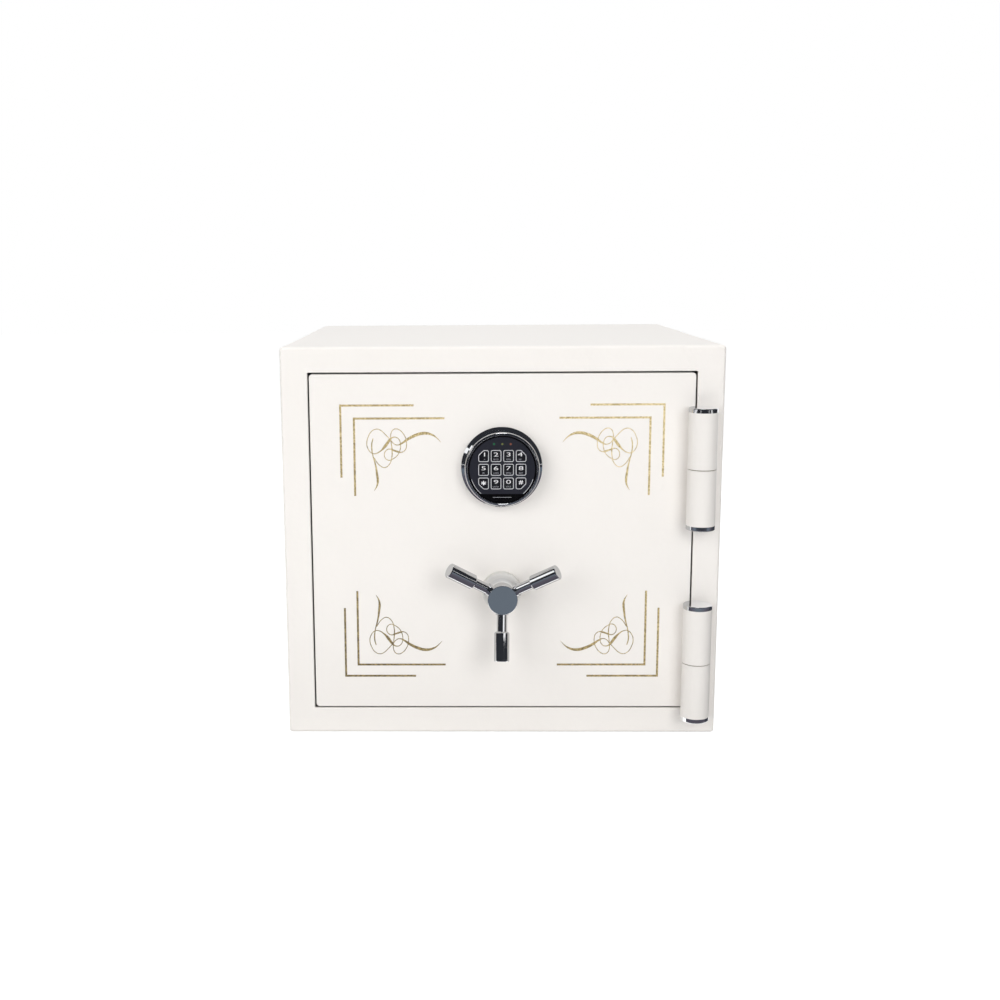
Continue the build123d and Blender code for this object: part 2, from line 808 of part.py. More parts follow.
def handle_escutcheon():
    out, up = rose_bulge
    profile = make_face(
        Plane.XZ
        * (
            Line((spindle_r + slide_gap, 0), (rose_r, 0))
            + Line((rose_r, 0), (rose_r, rose_rim))
            + ThreePointArc(
                (rose_r, rose_rim),
                (rose_r - (rose_r - rose_top_r) * out, rose_rim + (rose_t - rose_rim) * up),
                (rose_top_r, rose_t),
            )
            + Line((rose_top_r, rose_t), (spindle_r + slide_gap, rose_t))
            + Line((spindle_r + slide_gap, rose_t), (spindle_r + slide_gap, 0))
        )
    )
    return on_face(0, handle_z) * revolve(profile, Axis.Z)


def handle_hub():
    hub_back = rose_t + slide_gap
    hub = rod_in(0, handle_z, hub_r, -hub_front, -hub_back)
    hub = chamfer(hub.edges().filter_by(GeomType.CIRCLE), hub_edge)
    hub -= rod_in(0, handle_z, spindle_r, -hub_back - spindle_in_hub, 0)
    for angle in spoke_angles:
        hub -= rod_along(spoke_origin, spoke_direction(angle), spoke_r, spoke_start, hub_r * 2)
    return hub - hub_set_screw()


def handle_spokes():
    reach = hub_r / math.cos(math.radians(spoke_tilt))
    rods = []
    for angle in spoke_angles:
        way = spoke_direction(angle)
        rod = rod_along(spoke_origin, way, spoke_r, spoke_start, grip_end - grip_cap)
        collar = rod_along(spoke_origin, way, spoke_collar_r, reach, reach + spoke_collar_t)
        collar -= rod_in(0, handle_z, hub_r, -hub_front, 0)
        rods.append(rod + collar)
    return rods


def handle_grips():
    grips = []
    for angle in spoke_angles:
        way = spoke_direction(angle)
        grip = rod_along(spoke_origin, way, grip_r, grip_start, grip_end)
        inner, outer = grip.edges().filter_by(GeomType.CIRCLE).sort_by(Axis(spoke_origin, way))
        grip = chamfer(inner, grip_shoulder)
        grip = chamfer(grip.edges().filter_by(GeomType.CIRCLE).sort_by(Axis(spoke_origin, way))[-1], grip_edge)
        bore = rod_along(spoke_origin, way, spoke_r + grip_fit, grip_start - 1, grip_end - grip_cap)
        grips.append(grip - bore)
    return grips


cam_front = jamb_end + sleeve_proud + cam_gap
cam_back = cam_front + cam_t


def handle_spindle():
    front = -rose_t - slide_gap - spindle_in_hub
    return rod_in(0, handle_z, spindle_r, front, cam_back + spindle_end)


def hub_set_screw():
    y = front_y - rose_t - slide_gap - spindle_in_hub / 2
    return rod_up(0, y, handle_z + spindle_r, handle_z + spindle_r + set_screw_len, set_screw_r)


def cam_set_screw():
    y = front_y + (cam_front + cam_back) / 2
    return rod_up(0, y, handle_z + spindle_r, handle_z + spindle_r + set_screw_len, set_screw_r)


def set_screws():
    return [hub_set_screw(), cam_set_screw()]


def drive_cam():
    # a plate tangent to both ends, with the crank pin at its tip
    plane = Plane(origin=(0, front_y + cam_front, handle_z), x_dir=(1, 0, 0), z_dir=(0, 1, 0))
    tip = Pos(crank_x, handle_z - crank_z)
    outline = make_hull((Circle(cam_r) + tip * Circle(cam_tip_r)).edges())
    cam = plane * extrude(outline, cam_t)
    cam += rod_in(crank_x, crank_z, crank_pin_r, cam_front, carriage_rear + crank_pin_proud)
    return cam - rod_in(0, handle_z, spindle_r, cam_front - 1, cam_back + 1) - cam_set_screw()


# ---- keypad ----
keypad_face = on_face(0, keypad_z)


def disc_up(r, h0, h1):
    return Pos(0, 0, h0) * Cylinder(r, h1 - h0, align=(Align.CENTER, Align.CENTER, Align.MIN))


def slab(x0, x1, y0, y1, h0, h1):
    return Pos((x0 + x1) / 2, (y0 + y1) / 2, (h0 + h1) / 2) * Box(x1 - x0, y1 - y0, h1 - h0)


def below_chord(offset):
    # the space below the fascia's straight lower edge, moved down by offset
    return slab(-bezel_r, bezel_r, -2 * bezel_r, -fascia_chord - offset, -1, 2 * bezel_t)


def rim_arc(foot, top):
    # from a point on the side of the rim to its top, bulging like a quarter circle
    bulge = math.sin(math.pi / 4)
    middle = (top[0] + (foot[0] - top[0]) * bulge, foot[1] + (top[1] - foot[1]) * bulge)
    return ThreePointArc(foot, middle, top)


def keypad_bezel():
    # a flange on the door, a straight neck and a rounded rim
    inner = fascia_front - ring_drop
    outside = [
        (bezel_throat_r, inner),
        (bezel_throat_r, 0),
        (bezel_r, 0),
        (bezel_r, bezel_flange_t),
        (bezel_neck_r, bezel_flange_t + bezel_flange_rise),
        (bezel_rim_r, bezel_t - bezel_rim_h),
    ]
    profile = make_face(
        Plane.XZ
        * (
            Polyline(*outside)
            + rim_arc(outside[-1], (bezel_crest_r, bezel_t))
            + rim_arc(outside[0], (bezel_crest_r, bezel_t))
        )
    )
    return keypad_face * revolve(profile, Axis.Z)


def cell_levels():
    return [(i - (cell_count - 1) / 2) * cell_pitch for i in range(cell_count)]


def keypad_base():
    base = disc_up(bezel_throat_r - keypad_base_gap, 0, keypad_base_t)
    reach = board_r - board_post_inset
    for sx in (-1, 1):
        for sy in (-1, 1):
            x = sx * reach * math.cos(math.radians(board_post_angle))
            y = sy * reach * math.sin(math.radians(board_post_angle))
            base += Pos(x, y) * disc_up(board_post_r, 0, board_back)
        end_x = sx * (cell_len / 2 + slide_gap + cell_end_t / 2)
        ends = (end_x - cell_end_t / 2, end_x + cell_end_t / 2)
        base += slab(*ends, -cells_top, cells_top, 0, cell_axis + cell_r)
    return keypad_face * base - lead_hole()


def keypad_cells():
    turn = Rot(0, 90, 0)
    return [
        keypad_face * Pos(0, level, cell_axis) * turn * Cylinder(cell_r, cell_len)
        for level in cell_levels()
    ]


def keypad_board():
    board = disc_up(board_r, board_back, board_front)
    return keypad_face * board


def keypad_surround():
    height = fascia_front - ring_drop
    ring_part = disc_up(surround_r, fascia_back, height) - disc_up(fascia_r + seam, 0, bezel_t)
    strip = disc_up(surround_r, fascia_back, fascia_front) & below_chord(seam)
    return keypad_face * (ring_part + strip)


def square_corner(vertex, w, h):
    return math.isclose(abs(vertex.X), w) and math.isclose(abs(vertex.Y), h)


def key_outline(column, row, grow):
    # a rounded rectangle; the four corner keys have one large corner, outward
    w = key_w / 2 + grow
    h = key_h / 2 + grow
    face = Rectangle(2 * w, 2 * h)
    sx = {0: -1, 3: 1}.get(column, 0)
    sy = {0: 1, 2: -1}.get(row, 0)
    if sx and sy:
        big = [v for v in face.vertices() if v.X * sx > 0 and v.Y * sy > 0]
        face = chamfer(big, key_big_corner + grow / 2)
        slope_ends = [v for v in face.vertices() if not square_corner(v, w, h)]
        face = fillet(slope_ends, key_big_round + grow)
    small = [v for v in face.vertices() if square_corner(v, w, h)]
    return fillet(small, key_corner_r + grow)


def key_place(column, row):
    return Pos((column - 1.5) * key_pitch_x, (1 - row) * key_pitch_z)


def keypad_fascia():
    disc = disc_up(fascia_r, fascia_back, fascia_front)
    disc = chamfer(disc.edges().filter_by(GeomType.CIRCLE).sort_by(Axis.Z)[-1], fascia_edge)
    disc -= below_chord(0)
    for column in range(4):
        for row in range(3):
            hole = extrude(key_outline(column, row, key_gap), 2 * fascia_t)
            disc -= key_place(column, row) * Pos(0, 0, fascia_back - fascia_t / 2) * hole
    for i in (-1, 0, 1):
        disc -= Pos(i * led_pitch, led_height) * disc_up(led_r, 0, bezel_t)
    return keypad_face * disc


def led_lenses():
    return [
        keypad_face * Pos(i * led_pitch, led_height) * disc_up(led_r, board_front, fascia_front + slide_gap)
        for i in (-1, 0, 1)
    ]


def key(column, row):
    top = fascia_front + key_proud
    cap = Pos(0, 0, flange_back) * extrude(key_outline(column, row, 0), top - flange_back)
    cap = chamfer(cap.faces().sort_by(Axis.Z)[-1].edges(), key_edge)
    flange = extrude(key_outline(column, row, key_flange), key_flange_t)
    cap += Pos(0, 0, flange_back) * flange
    return keypad_face * key_place(column, row) * cap


key_names = (
    ("1", "2", "3", "4"),
    ("5", "6", "7", "8"),
    ("star", "9", "0", "hash"),
)

for make in (
    outer_casing, front_frame, rear_panel, wall_fill, inner_liner, anchor_sleeves, floor_mat,
    shelf, shelf_clips, hinge_body_knuckles, hinge_door_knuckles, hinge_pins, hinge_washers,
    hinge_caps_lower, hinge_caps_upper, door_skin, door_fill, hardplate, door_back_pan, fire_seal,
    spindle_sleeve, bolt_box, bolt_guides, dog_bolts, live_bolts, bolt_screws, bolt_carriage,
    carriage_posts, boltwork_screws, door_trim, trim_screws, lock_case, lock_bolt, keypad_lead,
    handle_escutcheon, handle_hub, handle_spokes, handle_grips, handle_spindle, set_screws,
    drive_cam, keypad_bezel, keypad_base, keypad_cells, keypad_board, keypad_surround,
    keypad_fascia, led_lenses,
):
    save(make.__name__, make())
for row, names in enumerate(key_names):
    for column, name in enumerate(names):
        save(f"key_{name}", key(column, row))
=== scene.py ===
import bpy, bmesh, json, math
from mathutils import Matrix, Quaternion, Vector


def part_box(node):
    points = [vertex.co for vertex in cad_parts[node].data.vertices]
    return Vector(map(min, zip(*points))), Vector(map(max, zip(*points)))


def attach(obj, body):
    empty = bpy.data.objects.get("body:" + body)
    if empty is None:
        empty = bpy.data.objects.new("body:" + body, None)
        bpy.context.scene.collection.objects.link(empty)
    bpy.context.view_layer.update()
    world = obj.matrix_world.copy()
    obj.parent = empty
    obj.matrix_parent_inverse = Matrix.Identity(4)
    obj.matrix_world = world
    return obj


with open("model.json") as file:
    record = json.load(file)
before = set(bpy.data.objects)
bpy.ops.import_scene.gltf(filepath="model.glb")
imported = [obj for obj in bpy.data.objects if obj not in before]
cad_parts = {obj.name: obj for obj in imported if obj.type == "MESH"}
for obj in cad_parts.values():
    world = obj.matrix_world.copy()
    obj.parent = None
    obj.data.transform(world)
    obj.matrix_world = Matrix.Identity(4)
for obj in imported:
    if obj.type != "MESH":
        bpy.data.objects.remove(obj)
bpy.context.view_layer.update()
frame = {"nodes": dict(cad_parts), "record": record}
nodes = frame["nodes"]
print("frame loaded")

# the camera, a little above the safe and almost square to the door
cameraSet = {"place": (-0.0512, -1.7815, 0.5901), "turn": (79.90, 0.371, 1.074), "lens": 45.227,
             "shiftX": 0.0646, "shiftY": -0.0139, "sensor": 36, "farEnd": 60}
cameraData = bpy.data.cameras.new("camera")
cameraData.sensor_width = cameraSet["sensor"]
cameraData.lens = cameraSet["lens"]
cameraData.shift_x = cameraSet["shiftX"]
cameraData.shift_y = cameraSet["shiftY"]
cameraData.clip_end = cameraSet["farEnd"]
camera = bpy.data.objects.new("camera", cameraData)
camera.location = cameraSet["place"]
camera.rotation_euler = [math.radians(a) for a in cameraSet["turn"]]
bpy.context.scene.collection.objects.link(camera)
bpy.context.scene.camera = camera


def addNode(tree, kind, **values):
    # values are settings of the node, or inputs of it with _ for a space
    node = tree.nodes.new(kind)
    for key, value in values.items():
        if hasattr(node, key):
            setattr(node, key, value)
        else:
            node.inputs[key.replace("_", " ")].default_value = value
    return node


def newGroup(name, inputs, outputs):
    group = bpy.data.node_groups.new(name, "ShaderNodeTree")
    for title, value in inputs.items():
        kind = "NodeSocketVector" if isinstance(value, tuple) else "NodeSocketFloat"
        group.interface.new_socket(title, in_out="INPUT", socket_type=kind).default_value = value
    for title in outputs:
        group.interface.new_socket(title, in_out="OUTPUT", socket_type="NodeSocketFloat")
    return group, group.nodes.new("NodeGroupInput"), group.nodes.new("NodeGroupOutput")


def useGroup(tree, group, **values):
    node = tree.nodes.new("ShaderNodeGroup")
    node.node_tree = group
    for key, value in values.items():
        node.inputs[key].default_value = value
    return node


coatRoughness = 0.05  # of the clear coat, on each finish that has one


def newMaterial(name, roughness, metallic=0.0, coat=0.0, specular=0.5):
    material = bpy.data.materials.new(name)
    material.use_nodes = True
    tree = material.node_tree
    shader = tree.nodes["Principled BSDF"]
    shader.inputs["Roughness"].default_value = roughness
    shader.inputs["Metallic"].default_value = metallic
    shader.inputs["Coat Weight"].default_value = coat
    shader.inputs["Coat Roughness"].default_value = coatRoughness
    shader.inputs["Specular IOR Level"].default_value = specular
    return material, tree, shader


def blendColours(tree, mask, low, high, shader):
    # two colours of a finish, mixed by a mask into the base colour
    mix = addNode(tree, "ShaderNodeMix", data_type="RGBA")
    mix.inputs[6].default_value = (*low, 1)
    mix.inputs[7].default_value = (*high, 1)
    tree.links.new(mask, mix.inputs[0])
    tree.links.new(mix.outputs[2], shader.inputs["Base Color"])
    return mix


def spreadRoughness(tree, mask, low, high, shader):
    spread = addNode(tree, "ShaderNodeMapRange", To_Min=low, To_Max=high)
    tree.links.new(mask, spread.inputs["Value"])
    tree.links.new(spread.outputs[0], shader.inputs["Roughness"])


def raiseHeight(tree, height, distance, strength, shader):
    bump = addNode(tree, "ShaderNodeBump", Distance=distance, Strength=strength)
    tree.links.new(height, bump.inputs["Height"])
    tree.links.new(bump.outputs[0], shader.inputs["Normal"])


# effects that several finishes share
def makeOrangePeel():
    # the fine wrinkle of a sprayed coat, and slow patches in its shade
    peel = {"size": 700.0, "fineDetail": 2.5, "fineRough": 0.55, "cellSoft": 0.6, "cellShare": 0.45,
            "patchSize": 5.0, "patchDetail": 3.0, "patchRough": 0.6}
    group, source, out = newGroup("orangePeel", {"Scale": peel["size"]}, ("Height", "Patch"))
    place = addNode(group, "ShaderNodeTexCoord")
    fine = addNode(group, "ShaderNodeTexNoise", Detail=peel["fineDetail"], Roughness=peel["fineRough"])
    cells = addNode(group, "ShaderNodeTexVoronoi", feature="SMOOTH_F1", Smoothness=peel["cellSoft"])
    cellScale = addNode(group, "ShaderNodeMath", operation="MULTIPLY")
    cellScale.inputs[1].default_value = peel["cellShare"]
    both = addNode(group, "ShaderNodeMath", operation="ADD")
    patch = addNode(group, "ShaderNodeTexNoise", Scale=peel["patchSize"], Detail=peel["patchDetail"],
                    Roughness=peel["patchRough"])
    group.links.new(place.outputs["Object"], fine.inputs["Vector"])
    group.links.new(place.outputs["Object"], cells.inputs["Vector"])
    group.links.new(place.outputs["Object"], patch.inputs["Vector"])
    group.links.new(source.outputs["Scale"], fine.inputs["Scale"])
    group.links.new(source.outputs["Scale"], cellScale.inputs[0])
    group.links.new(cellScale.outputs[0], cells.inputs["Scale"])
    group.links.new(fine.outputs[0], both.inputs[0])
    group.links.new(cells.outputs["Distance"], both.inputs[1])
    group.links.new(both.outputs[0], out.inputs["Height"])
    group.links.new(patch.outputs[0], out.inputs["Patch"])
    return group


def makeHandling():
    # smears and hairline scratches on smooth parts
    marks = {"size": 30.0, "smearDetail": 4.0, "smearRough": 0.6, "smearBend": 0.6, "turn": (0.5, 0.3, 0.7),
             "stretch": (1.0, 1.0, 26.0), "lineShare": 2.2, "lineDetail": 2.0, "lineRough": 0.5, "keep": (0.60, 0.72)}
    group, source, out = newGroup("handling", {"Scale": marks["size"]}, ("Smear", "Scratch"))
    place = addNode(group, "ShaderNodeTexCoord")
    smear = addNode(group, "ShaderNodeTexNoise", Detail=marks["smearDetail"], Roughness=marks["smearRough"],
                    Distortion=marks["smearBend"])
    turned = addNode(group, "ShaderNodeMapping", Rotation=marks["turn"], Scale=marks["stretch"])
    lines = addNode(group, "ShaderNodeTexNoise", Detail=marks["lineDetail"], Roughness=marks["lineRough"])
    lineScale = addNode(group, "ShaderNodeMath", operation="MULTIPLY")
    lineScale.inputs[1].default_value = marks["lineShare"]
    keep = addNode(group, "ShaderNodeMapRange", From_Min=marks["keep"][0], From_Max=marks["keep"][1])
    group.links.new(place.outputs["Object"], smear.inputs["Vector"])
    group.links.new(place.outputs["Object"], turned.inputs["Vector"])
    group.links.new(turned.outputs[0], lines.inputs["Vector"])
    group.links.new(source.outputs["Scale"], smear.inputs["Scale"])
    group.links.new(source.outputs["Scale"], lineScale.inputs[0])
    group.links.new(lineScale.outputs[0], lines.inputs["Scale"])
    group.links.new(lines.outputs[0], keep.inputs["Value"])
    group.links.new(smear.outputs[0], out.inputs["Smear"])
    group.links.new(keep.outputs[0], out.inputs["Scratch"])
    return group


def makeBrushing():
    # long fine lines of drawn or ground steel
    brush = {"size": 60.0, "stretch": (1.0, 1.0, 30.0), "lineDetail": 5.0, "lineRough": 0.65,
             "patchSize": 14.0, "patchDetail": 3.0}
    sizes = {"Scale": brush["size"], "Stretch": brush["stretch"]}
    group, source, out = newGroup("brushing", sizes, ("Line", "Patch"))
    place = addNode(group, "ShaderNodeTexCoord")
    stretch = addNode(group, "ShaderNodeMapping")
    lines = addNode(group, "ShaderNodeTexNoise", Detail=brush["lineDetail"], Roughness=brush["lineRough"])
    patch = addNode(group, "ShaderNodeTexNoise", Scale=brush["patchSize"], Detail=brush["patchDetail"])
    group.links.new(place.outputs["Object"], stretch.inputs["Vector"])
    group.links.new(source.outputs["Stretch"], stretch.inputs["Scale"])
    group.links.new(stretch.outputs[0], lines.inputs["Vector"])
    group.links.new(place.outputs["Object"], patch.inputs["Vector"])
    group.links.new(source.outputs["Scale"], lines.inputs["Scale"])
    group.links.new(lines.outputs[0], out.inputs["Line"])
    group.links.new(patch.outputs[0], out.inputs["Patch"])
    return group


def makeMouldGrain():
    # spark-eroded grain of moulded plastic
    mould = {"size": 2500.0, "grainDetail": 2.0, "grainRough": 0.7, "patchSize": 40.0, "patchDetail": 3.0}
    group, source, out = newGroup("mouldGrain", {"Scale": mould["size"]}, ("Height", "Patch"))
    place = addNode(group, "ShaderNodeTexCoord")
    grain = addNode(group, "ShaderNodeTexNoise", Detail=mould["grainDetail"], Roughness=mould["grainRough"])
    patch = addNode(group, "ShaderNodeTexNoise", Scale=mould["patchSize"], Detail=mould["patchDetail"])
    group.links.new(place.outputs["Object"], grain.inputs["Vector"])
    group.links.new(place.outputs["Object"], patch.inputs["Vector"])
    group.links.new(source.outputs["Scale"], grain.inputs["Scale"])
    group.links.new(grain.outputs[0], out.inputs["Height"])
    group.links.new(patch.outputs[0], out.inputs["Patch"])
    return group


orangePeel = makeOrangePeel()
handling = makeHandling()
brushing = makeBrushing()
mouldGrain = makeMouldGrain()


def sprayedPaint(name, light, dark, roughness, peel, depth, paintedReflectionShade=None):
    # the last argument is a painted darker shade of the coat, which reflections in polished parts see instead of its
    # own colour
    spray = {"smoother": 0.06, "rougher": 0.08, "wrinkle": 0.6}
    material, tree, shader = newMaterial(name, roughness)
    coat = useGroup(tree, orangePeel, Scale=peel)
    blend = blendColours(tree, coat.outputs["Patch"], dark, light, shader)
    if paintedReflectionShade:
        path = addNode(tree, "ShaderNodeLightPath")
        swap = addNode(tree, "ShaderNodeMix", data_type="RGBA")
        swap.inputs[7].default_value = (*paintedReflectionShade, 1)
        tree.links.new(path.outputs["Is Glossy Ray"], swap.inputs[0])
        tree.links.new(blend.outputs[2], swap.inputs[6])
        tree.links.new(swap.outputs[2], shader.inputs["Base Color"])
    low, high = roughness - spray["smoother"], roughness + spray["rougher"]
    spreadRoughness(tree, coat.outputs["Patch"], low, high, shader)
    raiseHeight(tree, coat.outputs["Height"], depth, spray["wrinkle"], shader)
    return material


def framePaint():
    # the door frame: the outside coat runs a little way into the opening, and deeper in, the jamb gets a painted dark
    # shade so that the gap round the door reads dark
    jambShade = {"dark": (0.030, 0.028, 0.026), "start": 0.0015, "full": 0.006, "gap": 0.002, "grow": 0.0006}
    material = sprayedPaint("framePaint", *creamCoat[:5])  # this one keeps its shade in a mirror
    tree = material.node_tree
    shader = tree.nodes["Principled BSDF"]
    doorLow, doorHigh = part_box("door_skin")
    middle = (doorLow + doorHigh) / 2
    half = (doorHigh - doorLow) / 2
    place = addNode(tree, "ShaderNodeTexCoord")
    centred = addNode(tree, "ShaderNodeMapping", Location=(0, -doorLow.y, -middle.z))
    split = addNode(tree, "ShaderNodeSeparateXYZ")
    sideways = addNode(tree, "ShaderNodeMath", operation="ABSOLUTE")
    upright = addNode(tree, "ShaderNodeMath", operation="ABSOLUTE")
    inWidth = addNode(tree, "ShaderNodeMath", operation="LESS_THAN")
    inHeight = addNode(tree, "ShaderNodeMath", operation="LESS_THAN")
    inWidth.inputs[1].default_value = half.x + jambShade["gap"] + jambShade["grow"]
    inHeight.inputs[1].default_value = half.z + jambShade["gap"] + jambShade["grow"]
    deep = addNode(tree, "ShaderNodeMapRange", From_Min=jambShade["start"], From_Max=jambShade["full"])
    inside = addNode(tree, "ShaderNodeMath", operation="MULTIPLY")
    paintedGapShade = addNode(tree, "ShaderNodeMath", operation="MULTIPLY")
    tree.links.new(place.outputs["Object"], centred.inputs["Vector"])
    tree.links.new(centred.outputs[0], split.inputs[0])
    tree.links.new(split.outputs["X"], sideways.inputs[0])
    tree.links.new(split.outputs["Z"], upright.inputs[0])
    tree.links.new(split.outputs["Y"], deep.inputs["Value"])
    tree.links.new(sideways.outputs[0], inWidth.inputs[0])
    tree.links.new(upright.outputs[0], inHeight.inputs[0])
    tree.links.new(inWidth.outputs[0], inside.inputs[0])
    tree.links.new(inHeight.outputs[0], inside.inputs[1])
    tree.links.new(inside.outputs[0], paintedGapShade.inputs[0])
    tree.links.new(deep.outputs[0], paintedGapShade.inputs[1])
    outer = shader.inputs["Base Color"].links[0].from_socket
    # painted dark shade mixed over the cream coat inside the jamb
    coat = addNode(tree, "ShaderNodeMix", data_type="RGBA")
    coat.inputs[7].default_value = (*jambShade["dark"], 1)
    tree.links.new(paintedGapShade.outputs[0], coat.inputs[0])
    tree.links.new(outer, coat.inputs[6])
    tree.links.new(coat.outputs[2], shader.inputs["Base Color"])
    return material


def polishedMetal(name, light, dark, roughness):
    polish = {"marks": 30.0, "clean": 0.6, "smeared": 1.6, "scratchDepth": 0.000004, "scratchStrength": 0.25}
    material, tree, shader = newMaterial(name, roughness, metallic=1.0)
    marks = useGroup(tree, handling, Scale=polish["marks"])
    blendColours(tree, marks.outputs["Smear"], dark, light, shader)
    low, high = roughness * polish["clean"], roughness * polish["smeared"]
    spreadRoughness(tree, marks.outputs["Smear"], low, high, shader)
    raiseHeight(tree, marks.outputs["Scratch"], polish["scratchDepth"], polish["scratchStrength"], shader)
    return material


def brushedMetal(name, light, dark, roughness, stretch):
    ground = {"lines": 60.0, "smoother": 0.12, "rougher": 0.14, "depth": 0.00001, "strength": 0.5}
    material, tree, shader = newMaterial(name, roughness, metallic=1.0)
    lines = useGroup(tree, brushing, Scale=ground["lines"], Stretch=stretch)
    blendColours(tree, lines.outputs["Patch"], dark, light, shader)
    low, high = roughness - ground["smoother"], roughness + ground["rougher"]
    spreadRoughness(tree, lines.outputs["Line"], low, high, shader)
    raiseHeight(tree, lines.outputs["Line"], ground["depth"], ground["strength"], shader)
    return material


def mouldedPlastic(name, light, dark, roughness, coat=0.0, grain=2500.0, depth=0.00001):
    mould = {"smoother": 0.05, "rougher": 0.08, "strength": 0.4}
    material, tree, shader = newMaterial(name, roughness, coat=coat)
    skin = useGroup(tree, mouldGrain, Scale=grain)
    blendColours(tree, skin.outputs["Patch"], dark, light, shader)
    low, high = roughness - mould["smoother"], roughness + mould["rougher"]
    spreadRoughness(tree, skin.outputs["Patch"], low, high, shader)
    raiseHeight(tree, skin.outputs["Height"], depth, mould["strength"], shader)
    return material


def carpetPile():
    pile = {"thread": 1400.0, "light": (0.060, 0.060, 0.066), "dark": (0.012, 0.012, 0.014), "roughness": 0.95,
            "detail": 4.0, "fuzz": 0.8, "depth": 0.0006, "sheen": 0.3}
    material, tree, shader = newMaterial("carpet", pile["roughness"])
    place = addNode(tree, "ShaderNodeTexCoord")
    threads = addNode(tree, "ShaderNodeTexNoise", Scale=pile["thread"], Detail=pile["detail"], Roughness=pile["fuzz"])
    tree.links.new(place.outputs["Object"], threads.inputs["Vector"])
    blendColours(tree, threads.outputs[0], pile["dark"], pile["light"], shader)
    raiseHeight(tree, threads.outputs[0], pile["depth"], 1.0, shader)
    shader.inputs["Sheen Weight"].default_value = pile["sheen"]
    return material


def circuitBoard():
    # green mask over faint tracks
    board = {"track": 420.0, "mask": (0.004, 0.060, 0.022), "copper": (0.012, 0.110, 0.040), "roughness": 0.35,
             "trackEdge": (0.03, 0.09), "depth": 0.00003, "strength": 0.5}
    material, tree, shader = newMaterial("boardGreen", board["roughness"])
    place = addNode(tree, "ShaderNodeTexCoord")
    tracks = addNode(tree, "ShaderNodeTexVoronoi", feature="DISTANCE_TO_EDGE", distance="MANHATTAN",
                     Scale=board["track"])
    thin = addNode(tree, "ShaderNodeMapRange", From_Min=board["trackEdge"][0], From_Max=board["trackEdge"][1])
    tree.links.new(place.outputs["Object"], tracks.inputs["Vector"])
    tree.links.new(tracks.outputs[0], thin.inputs["Value"])
    blendColours(tree, thin.outputs[0], board["copper"], board["mask"], shader)
    raiseHeight(tree, thin.outputs[0], board["depth"], board["strength"], shader)
    return material


def ledLens():
    # one moulding of three lamps: green, yellow and red from left to right
    lens = {"green": (0.035, 0.150, 0.075), "yellow": (0.170, 0.190, 0.075), "red": (0.230, 0.090, 0.065),
            "reach": 0.015, "yellowFrom": 0.34, "redFrom": 0.67, "coat": 0.4, "grain": 3000.0,
            "roughness": 0.25, "roughFrom": 0.18, "roughTo": 0.34}
    material, tree, shader = newMaterial("ledLens", lens["roughness"], coat=lens["coat"])
    place = addNode(tree, "ShaderNodeTexCoord")
    split = addNode(tree, "ShaderNodeSeparateXYZ")
    spread = addNode(tree, "ShaderNodeMapRange", From_Min=-lens["reach"], From_Max=lens["reach"])
    ramp = addNode(tree, "ShaderNodeValToRGB")
    ramp.color_ramp.interpolation = "CONSTANT"
    ramp.color_ramp.elements[0].color = (*lens["green"], 1)
    ramp.color_ramp.elements[1].position = lens["yellowFrom"]
    ramp.color_ramp.elements[1].color = (*lens["yellow"], 1)
    last = ramp.color_ramp.elements.new(lens["redFrom"])
    last.color = (*lens["red"], 1)
    grain = useGroup(tree, mouldGrain, Scale=lens["grain"])
    tree.links.new(place.outputs["Object"], split.inputs[0])
    tree.links.new(split.outputs["X"], spread.inputs["Value"])
    tree.links.new(spread.outputs[0], ramp.inputs[0])
    tree.links.new(ramp.outputs[0], shader.inputs["Base Color"])
    spreadRoughness(tree, grain.outputs["Patch"], lens["roughFrom"], lens["roughTo"], shader)
    return material


def fireBoard():
    # the cast filling: coarse and chalky
    cast = {"grain": 260.0, "light": (0.62, 0.58, 0.50), "dark": (0.42, 0.39, 0.33), "roughness": 0.9,
            "detail": 6.0, "rough": 0.7, "depth": 0.0004, "strength": 0.8}
    material, tree, shader = newMaterial("fillBoard", cast["roughness"])
    place = addNode(tree, "ShaderNodeTexCoord")
    grain = addNode(tree, "ShaderNodeTexNoise", Scale=cast["grain"], Detail=cast["detail"], Roughness=cast["rough"])
    tree.links.new(place.outputs["Object"], grain.inputs["Vector"])
    blendColours(tree, grain.outputs[0], cast["dark"], cast["light"], shader)
    raiseHeight(tree, grain.outputs[0], cast["depth"], cast["strength"], shader)
    return material


